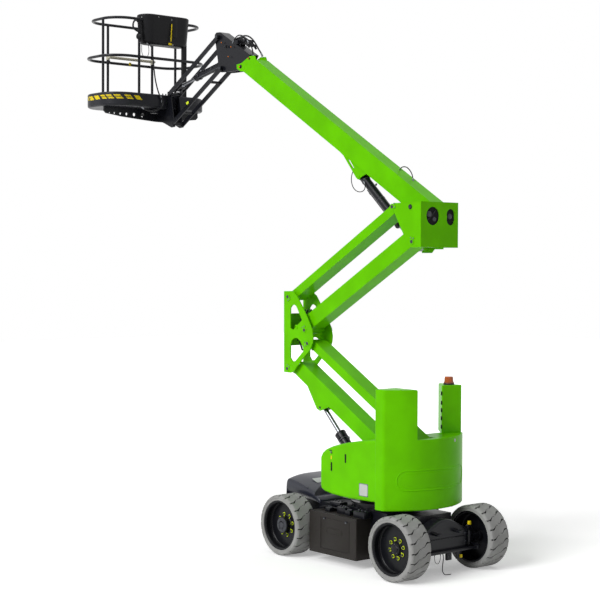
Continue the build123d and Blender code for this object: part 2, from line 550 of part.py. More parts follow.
FOOT_LOW = rad_point(HEAD_LOW, JIB_ANGLE, JIB_LEN)
FOOT_HIGH = rad_point(HEAD_HIGH, JIB_ANGLE, JIB_LEN)
JIB_EYE_REACH = 1050.0
LUG_REACH = 120.0
JIB_EYE = rad_point(HEAD_HIGH, JIB_ANGLE, JIB_EYE_REACH)


def link_pair(start, cross, lugs):
    """two flat links side by side with a cross tube at each distance in cross, and lugs for the jib cylinder"""
    shape = None
    for y0 in (boom_low + 4, boom_high - 4 - LINK_W):
        bar = block(0, JIB_LEN, y0, y0 + LINK_W, -LINK_D / 2, LINK_D / 2)
        bar += drum(0, 0, y0, y0 + LINK_W, LINK_D / 2) + drum(JIB_LEN, 0, y0, y0 + LINK_W, LINK_D / 2)
        bar -= drum(0, 0, y0 - 5, y0 + 40, PIN_R + RUN_GAP) + drum(JIB_LEN, 0, y0 - 5, y0 + 40, PIN_R + RUN_GAP)
        shape = bar if shape is None else shape + bar
    for reach in cross:
        shape += drum(reach, 0, boom_low + 4, boom_high - 4, 18)
    for reach in lugs:
        for y0 in (BOOM_Y - JIB_EYE_HALF - 1 - LINK_W, BOOM_Y + JIB_EYE_HALF + 1):
            lug = slab([(reach + LUG_REACH + 20, -18), (reach - 10, -34), (reach - 34, 0), (reach - 10, 34),
                        (reach + LUG_REACH + 20, 18)], y0, y0 + LINK_W)
            shape += lug - drum(reach, 0, y0 - 1, y0 + LINK_W + 1, JIB_PIN_R)
    return Pos(start[0], 0, start[1]) * Rot(0, -JIB_ANGLE, 0) * shape


save("jib_upper_link", link_pair(HEAD_HIGH, (JIB_EYE_REACH + LUG_REACH,), (JIB_EYE_REACH,)))
save("jib_lower_link", link_pair(HEAD_LOW, (300, 1000), ()))

FOOT_OUTLINE = [(4196, 5214), (4275, 5210), (4420, 5270), (4560, 5320), (4700, 5350), (5080, 5430), (5080, TRAY_LOW),
                (4369, TRAY_LOW), (4369, 5700), (4312, 5704), (4290, 5640)]
BEAM_X0, BEAM_X1 = 4640.0, 4664.0
BEAM_HOLES = [(681.0, 12.0), (605.0, 14.0), (511.0, 17.0), (411.0, 20.0), (289.0, 24.0), (157.0, 27.0)]  # y, radius
BEAM_HOLE_Z = 5388.0
foot = slab(FOOT_OUTLINE, head_in - WEB, head_in) + slab(FOOT_OUTLINE, head_out, head_out + WEB)
for x, z in (FOOT_LOW, FOOT_HIGH):
    foot += drum(x, z, boom_low + 2, boom_high - 2, PIN_R)
BEAM_SIDE = [(770, TRAY_LOW), (774, 5412), (740, 5380), (488, 5349), (165, 5326), (-60, 5312), (-220, 5312),
             (-488, 5349), (-740, 5380), (-774, 5412), (-770, TRAY_LOW)]
beam_side = Wire.make_polygon([Vector(BEAM_X0, y, z) for y, z in BEAM_SIDE], close=True)
beam = extrude(Face(beam_side), amount=BEAM_X1 - BEAM_X0, dir=(1, 0, 0))
for y, r in BEAM_HOLES:
    beam -= Pos(BEAM_X0, y, BEAM_HOLE_Z) * Rot(0, 90, 0) * Cylinder(r, 200)
foot += beam
save("cage_foot", foot)

# ---- cage -----------------------------------------------------------------------------


def rounded(size, inset=0.0):
    dx, dy, r = size
    return Pos(CAGE_X, 0, 0) * RectangleRounded(dx - 2 * inset, dy - 2 * inset, r - inset)


SKIRT_T = 36.0
tray = Pos(0, 0, TRAY_LOW) * extrude(rounded(TRAY_SIZE), SKIRT_TOP - TRAY_LOW)
tray = fillet(tray.faces().sort_by(Axis.Z)[0].edges(), 30)
tray = fillet(tray.faces().sort_by(Axis.Z)[-1].edges(), 24)
tray -= Pos(0, 0, CAGE_FLOOR) * extrude(rounded(TRAY_SIZE, SKIRT_T), 400)
save("cage_tray", tray)


def hoop(z, size, r):
    wire = rounded(size, RAIL_R).wire().moved(Location((0, 0, z)))
    return sweep(Plane(origin=wire @ 0, z_dir=wire % 0) * Circle(r), path=wire)


rails = hoop(TOP_RAIL_Z, TOP_RAIL_SIZE, RAIL_R)
rails += hoop(MID_RAIL_Z, MID_RAIL_SIZE, RAIL_R)
POST_R = RAIL_R - 1
BRACKET_R = 11.0
CORNER_ANGLE = 50.0
POST_X = TRAY_SIZE[0] / 2 - SKIRT_T - 32
POST_Y = TRAY_SIZE[1] / 2 - SKIRT_T - 32
MID_GAP = (MID_RAIL_SIZE[0] - TRAY_SIZE[0]) / 2 + SKIRT_T + 32 - RAIL_R
CORNER_REACH = TOP_RAIL_SIZE[2] - RAIL_R - 6
corner_c, corner_s = cos(radians(CORNER_ANGLE)), sin(radians(CORNER_ANGLE))
POSTS = [  # x from the cage's middle, y, direction of the bracket to the middle rail, its length
    (POST_X, 390.0, (1, 0), MID_GAP), (POST_X, -345.0, (1, 0), MID_GAP), (-POST_X, 345.0, (-1, 0), MID_GAP),
    (-87.0, POST_Y, (0, 1), MID_GAP),
    (TOP_RAIL_SIZE[0] / 2 - TOP_RAIL_SIZE[2] + CORNER_REACH * corner_c,
     -(TOP_RAIL_SIZE[1] / 2 - TOP_RAIL_SIZE[2] + CORNER_REACH * corner_s), (corner_c, -corner_s), 62.0),
]
for x, y, (ux, uy), gap in POSTS:
    rails += rod((CAGE_X + x, y, CAGE_FLOOR - 5), (CAGE_X + x, y, TOP_RAIL_Z), POST_R)
    rails += rod((CAGE_X + x, y, MID_RAIL_Z), (CAGE_X + x + ux * gap, y + uy * gap, MID_RAIL_Z), BRACKET_R)
rails -= tray
rails -= Pos(CAGE_X, 0, CAGE_FLOOR - 20) * Box(1000, 1800, 40)
save("cage_rails", rails)

MAST_X, MAST_Y = 4446.0, -392.0
CONSOLE_X, CONSOLE_Y = 4490.0, -75.0
CONSOLE_PLAN = (310.0, 790.0, 150.0)
CONSOLE_H, CONSOLE_RISE, CONSOLE_TAPER = 400.0, 78.0, 5.0
mast = block(MAST_X - 26, MAST_X + 20, MAST_Y - 30, MAST_Y + 30, CAGE_FLOOR, TOP_RAIL_Z - 60)
console_top = Plane((CONSOLE_X, CONSOLE_Y, TOP_RAIL_Z + CONSOLE_RISE), z_dir=(0, 0, -1))
console = console_top * extrude(RectangleRounded(*CONSOLE_PLAN), CONSOLE_H, taper=CONSOLE_TAPER)
console = fillet(console.faces().sort_by(Axis.Z)[-1].edges(), 22)
console = fillet(console.faces().sort_by(Axis.Z)[0].edges(), 60)
console += mast
console -= hoop(TOP_RAIL_Z, TOP_RAIL_SIZE, RAIL_R + 0.3)
console -= hoop(MID_RAIL_Z, MID_RAIL_SIZE, RAIL_R + 0.3)
save("console", console)

BAR_X = CAGE_X + POST_X - 48
BAR_Z = MID_RAIL_Z + 60
BAR_R = 20.0
SLEEVE_R = 26.0
SLEEVE_HALF = 32.0


def post_point(z, y):
    """a point on the axis of a front post"""
    return (CAGE_X + POST_X, y, z)


gate_y = [row[1] for row in POSTS[:2]]
bar = rod((BAR_X, gate_y[0], BAR_Z), (BAR_X, gate_y[1], BAR_Z), BAR_R)
for y in gate_y:
    bar += Pos(BAR_X, y, BAR_Z) * Sphere(BAR_R)
    bar += rod((BAR_X, y, BAR_Z), post_point(BAR_Z, y), BAR_R - 4)
    bar += rod(post_point(BAR_Z - SLEEVE_HALF, y), post_point(BAR_Z + SLEEVE_HALF, y), SLEEVE_R)
for y in gate_y:
    bar -= rod(post_point(BAR_Z - 90, y), post_point(BAR_Z + 90, y), POST_R + 2 * RUN_GAP)
save("drop_bar", bar)

# ---- lift cylinders -------------------------------------------------------------------


BORE_END = 60.0
EYE_WALL = 14.0


def cylinder_pair(name, base, eye, y, barrel_r, rod_r, barrel_len, base_half, eye_half, pin_r, eye_bore, retract):
    """barrel node hinged at base, rod node with its eye at the far pin"""
    angle = degrees(atan2(eye[1] - base[1], eye[0] - base[0]))
    length = hypot(eye[0] - base[0], eye[1] - base[1])
    place = Pos(base[0], y, base[1]) * Rot(0, -angle, 0)
    barrel = place * Pos(barrel_len / 2, 0, 0) * Rot(0, 90, 0) * Cylinder(barrel_r, barrel_len)
    barrel += place * Pos(barrel_len - 30, 0, 0) * Rot(0, 90, 0) * Cylinder(barrel_r + 7, 60)
    barrel += place * Rot(90, 0, 0) * Cylinder(pin_r + 20, base_half * 2)
    barrel += place * Pos(barrel_len * 0.55, 0, barrel_r + 9) * Rot(0, 90, 0) * Cylinder(10, barrel_len * 0.7)
    barrel += place * Pos(barrel_len * 0.28, 0, barrel_r + 2) * Box(34, 30, 26)
    barrel += place * Pos(barrel_len * 0.86, 0, barrel_r + 2) * Box(34, 30, 26)
    barrel -= place * Rot(90, 0, 0) * Cylinder(pin_r + RUN_GAP, base_half * 4)
    barrel -= place * Pos(barrel_len / 2 + BORE_END, 0, 0) * Rot(0, 90, 0) * Cylinder(rod_r + RUN_GAP, barrel_len)
    save(name + "_barrel", barrel)
    rod_start = BORE_END + retract + MOVE_GAP
    bar = place * Pos((rod_start + length) / 2, 0, 0) * Rot(0, 90, 0) * Cylinder(rod_r, length - rod_start)
    bar += place * Pos(length, 0, 0) * Rot(90, 0, 0) * Cylinder(eye_bore + EYE_WALL, eye_half * 2)
    bar -= place * Pos(length, 0, 0) * Rot(90, 0, 0) * Cylinder(eye_bore, eye_half * 4)
    save(name + "_rod", bar)


CYLINDERS = [  # name, base, eye, y, barrel and rod radius, barrel length, half widths, pin, eye bore, retraction
    ("lower_lift", LIFT_BASE, LIFT_PIN, RISER_Y, 58.0, 26.0, 840.0, 60.0, 46.0, PIN_R, PIN_R - 6, 270.0),
    ("boom_lift", BOOM_LIFT_PIN, BOOM_LIFT_BASE, BOOM_Y, 52.0, 27.0, 830.0, 52.0, EYE_HALF, PIN_R - 4, PIN_R, 346.0),
    ("jib_lift", JIB_BASE, JIB_EYE, BOOM_Y, 38.0, 20.0, 700.0, 40.0, JIB_EYE_HALF, JIB_PIN_R, 13.0, 181.0),
]
for row in CYLINDERS:
    cylinder_pair(*row)
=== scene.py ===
import math
import bpy
from mathutils import Matrix, Vector


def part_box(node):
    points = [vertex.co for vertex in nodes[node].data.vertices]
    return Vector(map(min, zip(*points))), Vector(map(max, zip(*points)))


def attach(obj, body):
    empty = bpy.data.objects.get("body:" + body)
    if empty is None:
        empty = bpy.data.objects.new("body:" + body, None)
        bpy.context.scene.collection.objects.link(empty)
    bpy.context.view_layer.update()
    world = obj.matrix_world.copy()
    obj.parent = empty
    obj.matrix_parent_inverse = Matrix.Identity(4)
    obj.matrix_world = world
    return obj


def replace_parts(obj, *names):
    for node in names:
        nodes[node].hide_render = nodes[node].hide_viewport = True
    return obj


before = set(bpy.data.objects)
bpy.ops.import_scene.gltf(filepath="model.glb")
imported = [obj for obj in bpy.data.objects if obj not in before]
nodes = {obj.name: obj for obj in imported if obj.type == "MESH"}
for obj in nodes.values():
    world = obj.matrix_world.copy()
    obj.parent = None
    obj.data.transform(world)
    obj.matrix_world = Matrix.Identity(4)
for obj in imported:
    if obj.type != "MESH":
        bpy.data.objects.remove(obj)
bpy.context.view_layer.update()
print("frame loaded:", len(nodes), "nodes")

rearTyre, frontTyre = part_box("tyre_rear_left"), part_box("tyre_front_left")
axleMid = (rearTyre[0].x + frontTyre[1].x) / 2  # row x half way between the axles


def at(x, y, z):  # millimetres from half way between the axles, on the ground
    return Vector((x / 1000 + axleMid, y / 1000, z / 1000))


def feed(tree, slot, value):
    if isinstance(value, Signal):
        tree.links.new(value.socket, slot)
    else:
        slot.default_value = value


class Signal:  # a socket that grows Math nodes as it is used in sums
    def __init__(self, tree, socket):
        self.tree = tree
        self.socket = socket

    def calc(self, operation, *values):
        node = self.tree.nodes.new("ShaderNodeMath")
        node.operation = operation
        for slot, value in zip(node.inputs, values):
            feed(self.tree, slot, value)
        return Signal(self.tree, node.outputs[0])

    def __add__(self, other):
        return self.calc("ADD", self, other)

    def __mul__(self, other):
        return self.calc("MULTIPLY", self, other)


def directRays(tree):  # 1 for a ray that shows the surface itself, 0 for its bounced light
    path = tree.nodes.new("ShaderNodeLightPath")
    seen, glossy, through = (Signal(tree, path.outputs[kind])
                             for kind in ("Is Camera Ray", "Is Glossy Ray", "Is Transmission Ray"))
    return seen.calc("MAXIMUM", seen.calc("MAXIMUM", seen, glossy), through)


class Finish:  # one material and the nodes that drive it
    def __init__(self, name, **fixed):
        self.material = bpy.data.materials.new(name)
        self.material.use_nodes = True
        self.tree = self.material.node_tree
        self.tree.nodes.clear()
        self.surface = self.tree.nodes.new("ShaderNodeBsdfPrincipled")
        output = self.tree.nodes.new("ShaderNodeOutputMaterial")
        self.tree.links.new(self.surface.outputs[0], output.inputs[0])
        for socket, value in fixed.items():
            self.surface.inputs[socket.replace("_", " ")].default_value = value
        coordinates = self.tree.nodes.new("ShaderNodeTexCoord")
        self.place = Signal(self.tree, coordinates.outputs["Object"])
        self.facing = Signal(self.tree, coordinates.outputs["Normal"])

    def node(self, kind, settings, sockets, out=0):
        node = self.tree.nodes.new(kind)
        for key, value in settings.items():
            setattr(node, key, value)
        for key, value in sockets.items():
            feed(self.tree, node.inputs[key], value)
        return Signal(self.tree, node.outputs[out])

    def axis(self, vector, index):
        return self.node("ShaderNodeSeparateXYZ", {}, {0: vector}, index)

    def noise(self, scale, detail=2.0, roughness=0.5, stretch=None):
        place = self.place
        if stretch:
            place = self.node("ShaderNodeMapping", {}, {"Vector": self.place, "Scale": stretch})
        return self.node("ShaderNodeTexNoise", {},
                         {"Vector": place, "Scale": scale, "Detail": detail, "Roughness": roughness})

    def ramp(self, value, low, high):  # 0 below low and 1 above high, smoothly between
        return self.node("ShaderNodeMapRange", {"interpolation_type": "SMOOTHSTEP"},
                         {"Value": value, "From Min": low, "From Max": high})

    def blend(self, factor, low, high):
        return self.node("ShaderNodeMix", {"data_type": "RGBA"}, {0: factor, 6: low, 7: high}, 2)

    def show(self, socket, value):
        feed(self.tree, self.surface.inputs[socket], value)

    def bump(self, height, strength, distance):
        normal = self.node("ShaderNodeBump", {}, {"Height": height, "Strength": strength, "Distance": distance})
        self.show("Normal", normal)


def shade(red, green, blue):  # a colour as it is seen, 0 to 255
    parts = [value / 255 for value in (red, green, blue)]
    return tuple(part / 12.92 if part <= 0.04045 else ((part + 0.055) / 1.055) ** 2.4 for part in parts) + (1,)


def toned(colour, factor, lift=0.0):
    return tuple(channel * factor + lift for channel in colour[:3]) + (1,)


paintwork = {
    "lime": shade(106, 204, 0),
    "black": shade(20, 21, 27),
    "hood": shade(34, 36, 48),
    "dust": shade(150, 146, 136),
    "rubber": shade(154, 154, 153),
}


def enamel(name, colour, roughness, coat, dust, peel, shine=0.3):
    f = Finish(name, Coat_Weight=coat, Coat_Roughness=0.08, IOR=1.5, Specular_IOR_Level=shine)
    cloud = f.noise(3.2, 3.0)
    settled = f.ramp(f.axis(f.facing, 2), 0.6, 1.0) * f.ramp(f.noise(16.0, 4.0, 0.65), 0.35, 0.8) * dust
    streak = f.ramp(f.noise(22.0, 4.0, 0.6, (1.0, 1.0, 0.12)), 0.52, 0.85) * (dust * 0.45)
    grime = settled + streak
    base = f.blend(f.ramp(cloud, 0.3, 0.75), toned(colour, 0.86), colour)
    f.show("Base Color", f.blend(grime, base, paintwork["dust"]))
    f.show("Roughness", cloud * 0.1 + grime * 0.5 + (roughness - 0.05))
    f.bump(f.noise(340.0, 2.0), peel, 0.0008)
    return f.material


def moulding(name, colour, roughness, grain, shine=0.4):
    f = Finish(name, IOR=1.46, Specular_IOR_Level=shine)
    cloud = f.noise(5.0, 3.0)
    scuff = f.ramp(f.noise(34.0, 5.0, 0.7), 0.62, 0.9)
    f.show("Base Color", f.blend(scuff * 0.3 + cloud * 0.15, colour, toned(colour, 1.5, 0.008)))
    f.show("Roughness", cloud * 0.12 + scuff * 0.12 + (roughness - 0.06))
    f.bump(f.noise(900.0, 2.0) + f.noise(260.0, 1.0) * 0.5, grain, 0.0006)
    return f.material


def metal(name, colour, roughness, brushed):
    f = Finish(name, Metallic=1.0)
    lines = f.noise(60.0, 3.0, 0.6, brushed)
    f.show("Base Color", f.blend(lines * 0.3, colour, toned(colour, 0.7)))
    f.show("Roughness", lines * 0.16 + (roughness - 0.08))
    f.bump(lines, 0.03, 0.0002)
    return f.material


def rubber(name):
    f = Finish(name, IOR=1.45, Specular_IOR_Level=0.3)
    wear = f.ramp(f.noise(7.0, 5.0, 0.6), 0.3, 0.75)
    speck = f.ramp(f.noise(120.0, 3.0, 0.7), 0.45, 0.75)
    tint = f.blend(wear * 0.5 + speck * 0.2, paintwork["rubber"], shade(134, 133, 130))
    f.show("Base Color", tint)
    f.show("Roughness", wear * 0.12 + 0.68)
    f.bump(f.noise(150.0, 4.0, 0.7) + speck * 0.6, 0.45, 0.002)
    return f.material


def lens(name, colour):
    f = Finish(name, Transmission_Weight=0.25, IOR=1.49)
    depth = f.ramp(f.noise(30.0, 2.0), 0.2, 0.8)
    f.show("Base Color", f.blend(depth, colour, toned(colour, 0.75)))
    f.show("Roughness", depth * 0.08 + 0.14)
    f.bump(f.noise(160.0, 1.0), 0.1, 0.0005)
    return f.material


lime = enamel("limePaint", paintwork["lime"], 0.32, 0.02, 0.02, 0.04, 0.04)
blackPaint = enamel("blackPaint", paintwork["black"], 0.30, 0.06, 0.05, 0.06, 0.2)
hoodPlastic = moulding("hoodPlastic", paintwork["hood"], 0.30, 0.04, 0.5)
boxPlastic = moulding("boxPlastic", shade(42, 39, 37), 0.40, 0.10, 0.15)
consolePlastic = moulding("consolePlastic", shade(15, 15, 18), 0.44, 0.12, 0.2)
trayPlastic = moulding("trayPlastic", shade(27, 28, 34), 0.38, 0.10, 0.25)
tyreRubber = rubber("tyreRubber")
# darker rubber for the groove floors between the lugs: painted shade in the tread's recesses
paintedGrooveShade = moulding("paintedGrooveShade", shade(62, 62, 62), 0.85, 0.3, 0.1)
rimPaint = enamel("rimPaint", shade(20, 21, 25), 0.30, 0.05, 0.04, 0.06, 0.15)
steelGrey = enamel("motorPaint", shade(58, 60, 66), 0.38, 0.1, 0.12, 0.08, 0.25)
chrome = metal("hardChrome", shade(128, 130, 134), 0.26, (1.0, 1.0, 3.0))
steel = metal("plainSteel", shade(116, 118, 122), 0.38, (2.0, 2.0, 1.0))
amber = lens("amberLens", shade(206, 96, 20))
hoseRubber = moulding("hoseRubber", shade(18, 18, 21), 0.46, 0.15, 0.25)
brightTag = moulding("brightTag", shade(232, 206, 10), 0.5, 0.05)
# near-black finish for painted shade: dark plates and sheets laid where slots, gaps and openings would show shade
paintedGapShade = moulding("paintedGapShade", shade(9, 9, 11), 0.8, 0.05, 0.2)
palePlate = moulding("palePlate", shade(186, 190, 186), 0.45, 0.04)
gripPale = moulding("gripPale", shade(196, 192, 172), 0.55, 0.06)
nutGlow = moulding("nutPointer", shade(206, 224, 40), 0.5, 0.05)
copper = metal("boltOrange", shade(214, 120, 40), 0.45, (3.0, 3.0, 3.0))
print("finishes made")

dressing = [
    (lime, "counterweight right_tower canopy_left canopy_right lower_arm lower_tie middle_knuckle upper_arm "
           "upper_tie upper_knuckle main_boom"),
    (blackPaint, "chassis_frame front_axle rear_axle steer_knuckle_left steer_knuckle_right tie_rod slew_ring "
                 "turntable_frame boom_head jib_upper_link jib_lower_link cage_foot cage_rails "
                 "lower_lift_barrel boom_lift_barrel jib_lift_barrel"),
    (hoodPlastic, "front_hood"),
    (boxPlastic, "side_boxes"),
    (trayPlastic, "cage_tray"),
    (consolePlastic, "console"),
    (rimPaint, "rim_front_left rim_front_right rim_rear_left rim_rear_right"),
    (chrome, "lower_lift_rod boom_lift_rod jib_lift_rod"),
    (gripPale, "drop_bar"),
    (amber, "beacon"),
    (tyreRubber, "tyre_front_left tyre_front_right tyre_rear_left tyre_rear_right"),
]


def dress(piece, finish):  # one finish all over
    piece.data.materials.clear()
    piece.data.materials.append(finish)


for finish, names in dressing:
    for name in names.split():
        dress(nodes[name], finish)


def clearSelection():
    if bpy.context.object and bpy.context.object.mode != "OBJECT":
        bpy.ops.object.mode_set(mode="OBJECT")
    bpy.ops.object.select_all(action="DESELECT")


def choose(piece):
    clearSelection()
    piece.select_set(True)
    bpy.context.view_layer.objects.active = piece


def modified(piece, kind, **settings):  # one modifier, set and applied
    choose(piece)
    modifier = piece.modifiers.new("change", kind)
    for key, value in settings.items():
        setattr(modifier, key, value)
    bpy.ops.object.modifier_apply(modifier=modifier.name)


def bevelled(piece, width, steps=2):
    modified(piece, "BEVEL", width=width / 1000, segments=steps, limit_method="ANGLE", angle_limit=math.radians(30))


def slabPiece(size, centre, finish, soft=2.0, turn=(0, 0, 0), steps=2):
    clearSelection()
    bpy.ops.mesh.primitive_cube_add(size=1, location=centre, rotation=turn, scale=[side / 1000 for side in size])
    piece = bpy.context.object
    bpy.ops.object.transform_apply(location=False, rotation=False, scale=True)
    if soft:
        bevelled(piece, soft, steps)
    piece.data.materials.append(finish)
    return piece


def turnFor(direction):  # the turn that takes +Z to this direction
    return Vector(direction).to_track_quat("Z", "Y").to_euler()


def roundPiece(radius, length, centre, direction, finish, soft=1.5, sides=32):
    clearSelection()
    bpy.ops.mesh.primitive_cylinder_add(vertices=sides, radius=radius / 1000, depth=length / 1000, location=centre,
                                        rotation=turnFor(direction))
    piece = bpy.context.object
    if soft:
        bevelled(piece, soft, 2)
    piece.data.materials.append(finish)
    return piece


def placed(name, data):  # a new object, chosen
    piece = bpy.data.objects.new(name, data)
    bpy.context.collection.objects.link(piece)
    choose(piece)
    return piece


def meshPiece(name, points, faces, edges=()):
    mesh = bpy.data.meshes.new(name)
    mesh.from_pydata([tuple(point) for point in points], edges, faces)
    return placed(name, mesh)


def sealed(merge=None):  # the chosen piece with near points merged and its faces turned outwards
    bpy.ops.object.mode_set(mode="EDIT")
    bpy.ops.mesh.select_all(action="SELECT")
    if merge:
        bpy.ops.mesh.remove_doubles(threshold=merge)
    bpy.ops.mesh.normals_make_consistent(inside=False)
    bpy.ops.object.mode_set(mode="OBJECT")


def lathePiece(profile, centre, direction, finish, steps=48, closed=False):
    # profile: radius and height in millimetres, turned about the direction
    last = len(profile) - 1
    edges = [(i, i + 1) for i in range(last)] + ([(last, 0)] if closed else [])
    piece = meshPiece("turned", [(radius / 1000, 0, height / 1000) for radius, height in profile], [], edges)
    bpy.ops.object.mode_set(mode="EDIT")
    bpy.ops.mesh.select_all(action="SELECT")
    bpy.ops.mesh.spin(steps=steps, angle=2 * math.pi, center=(0, 0, 0), axis=(0, 0, 1))
    sealed(0.00002)
    piece.rotation_euler = turnFor(direction)
    piece.location = centre
    piece.data.materials.append(finish)
    return piece


def roundLine(name, points, radius, closed=False, fineness=8, sides=6):  # a smooth round line through the points
    line = bpy.data.curves.new(name, "CURVE")
    line.dimensions = "3D"
    spline = line.splines.new("NURBS")
    spline.points.add(len(points) - 1)
    for spot, point in zip(spline.points, points):
        spot.co = (*point, 1)
    spline.order_u = 3
    spline.use_endpoint_u = not closed
    spline.use_cyclic_u = closed
    spline.resolution_u = fineness
    line.bevel_depth = radius / 1000
    line.bevel_resolution = sides // 2
    line.use_fill_caps = not closed
    return placed(name, line)


def tubePiece(points, radius, finish, closed=False, sides=6):
    roundLine("tube", points, radius, closed, sides=sides)
    bpy.ops.object.convert(target="MESH")
    dress(bpy.context.object, finish)
    return bpy.context.object


def runPiece(spots, radius, finish, sides=8):  # a tube through spots in millimetres, as at() takes them
    return tubePiece([at(*spot) for spot in spots], radius, finish, sides=sides)


def copied(piece):
    other = piece.copy()
    other.data = piece.data.copy()
    bpy.context.collection.objects.link(other)
    other.matrix_world = piece.matrix_world
    return other


def gather(name, parts, body, smooth=35):
    clearSelection()
    for part in parts:
        part.select_set(True)
    bpy.context.view_layer.objects.active = parts[0]
    if len(parts) > 1:
        bpy.ops.object.join()
    piece = bpy.context.object
    bpy.ops.object.transform_apply(location=True, rotation=True, scale=True)
    bpy.ops.object.shade_smooth_by_angle(angle=math.radians(smooth))
    piece.name = name
    piece.data.name = name
    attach(piece, body)
    return piece


def boxBetween(low, high, finish, soft=2.0):  # corners in millimetres, as at() takes them
    low, high = at(*low), at(*high)
    size = [abs(b - a) * 1000 for a, b in zip(low, high)]
    return slabPiece(size, (low + high) / 2, finish, soft)


def flatPiece(outline, extrude, soft, shrink, steps):  # an outline in millimetres, filled and thickened
    line = bpy.data.curves.new("flat", "CURVE")
    line.dimensions = "2D"
    line.fill_mode = "BOTH"
    spline = line.splines.new("POLY")
    spline.points.add(len(outline) - 1)
    for spot, (x, y) in zip(spline.points, outline):
        spot.co = (x / 1000, y / 1000, 0, 1)
    spline.use_cyclic_u = True
    line.extrude = extrude
    line.bevel_depth = soft
    line.offset = shrink
    line.bevel_resolution = steps
    placed("flat", line)
    bpy.ops.object.convert(target="MESH")
    return bpy.context.object


def plate(outline, thickness, origin, across, up, finish, soft=1.0):
    # a flat plate: outline along across and up from origin, its thickness along their cross product
    piece = flatPiece(outline, thickness / 2000 - soft / 1000, soft / 1000, -soft / 1000, 1)
    across, up = Vector(across).normalized(), Vector(up).normalized()
    turn = Matrix((across, up, across.cross(up))).transposed().to_4x4()
    piece.matrix_world = Matrix.Translation(origin) @ turn
    sealed(0.00003)
    dress(piece, finish)
    return piece


def roundedOutline(width, height, radius, steps=5):
    points = []
    for cx, cy, start in ((1, 1, 0), (-1, 1, 90), (-1, -1, 180), (1, -1, 270)):
        for k in range(steps + 1):
            angle = math.radians(start + 90 * k / steps)
            points.append((cx * (width / 2 - radius) + radius * math.cos(angle),
                           cy * (height / 2 - radius) + radius * math.sin(angle)))
    return points


bolt = {"across": 18.0, "height": 8.0, "washer": 13.0}


def hexBolt(centre, direction, scale, head, under=None):  # head on a washer, standing on centre
    direction = Vector(direction).normalized()
    centre = Vector(centre)
    flat, height, washer = (bolt[key] * scale for key in ("across", "height", "washer"))
    rim = [(0, 0), (washer, 0), (washer, 1.6 * scale), (washer - 1, 2.4 * scale), (0, 2.4 * scale)]
    disc = lathePiece(rim, centre, direction, under or head, 20)
    cap = roundPiece(flat / 2, height, centre + direction * (2.2 * scale + height / 2) / 1000, direction, head,
                     1.3 * scale, 6)
    return [disc, cap]


pinEnd = {"radius": 21.0, "collar": 33.0, "stand": 10.0}


def pinCap(centre, direction, scale, body, keeper):  # a pin's end, its collar, and a keeper plate beside it
    direction = Vector(direction).normalized()
    r, collar, stand = (pinEnd[key] * scale for key in ("radius", "collar", "stand"))
    ring = [(r * 0.98, 0), (collar, 0), (collar + 1, 1.5), (collar, 5), (r * 1.1, 6.5), (r * 0.98, 6.5)]
    end = [(0, stand - 1.5), (4, stand - 1.5), (4.5, stand), (r - 3, stand), (r, stand - 3), (r, 0), (0, 0)]
    parts = [
        lathePiece(ring, centre, direction, body, 32, closed=True),
        lathePiece(end, centre, direction, steelGrey, 32),
    ]
    if keeper:
        side = Vector(keeper).normalized()
        offset, along = Vector(centre) + side * (collar + 6) / 1000, direction.cross(side)
        parts.append(plate(roundedOutline(26, 60, 7), 6, offset + direction * 0.003, side, along, body))
        for step in (-18, 18):
            spot = offset + along * step / 1000 + direction * 0.006
            parts += hexBolt(spot, direction, 0.62, steel)
    return parts


camera = {"place": (-12.2936, 11.5279, 3.4129), "heading": -39.9663, "dip": 1.5196, "roll": 0.2728, "lens": 88.886}


def makeCamera():
    heading, dip, roll = (math.radians(camera[key]) for key in ("heading", "dip", "roll"))
    forward = Vector((math.cos(heading) * math.cos(dip), math.sin(heading) * math.cos(dip), -math.sin(dip)))
    level = Vector((math.sin(heading), -math.cos(heading), 0))
    upright = level.cross(forward)
    right = math.cos(roll) * level + math.sin(roll) * upright
    up = math.cos(roll) * upright - math.sin(roll) * level
    data = bpy.data.cameras.new("view")
    data.lens = camera["lens"]
    data.sensor_width = 36
    data.clip_end = 200
    eye = bpy.data.objects.new("view", data)
    x, y, z = camera["place"]
    turn = Matrix((right, up, -forward)).transposed().to_4x4()
    eye.matrix_world = Matrix.Translation((x + axleMid, y, z)) @ turn
    bpy.context.scene.collection.objects.link(eye)
    bpy.context.scene.camera = eye


makeCamera()


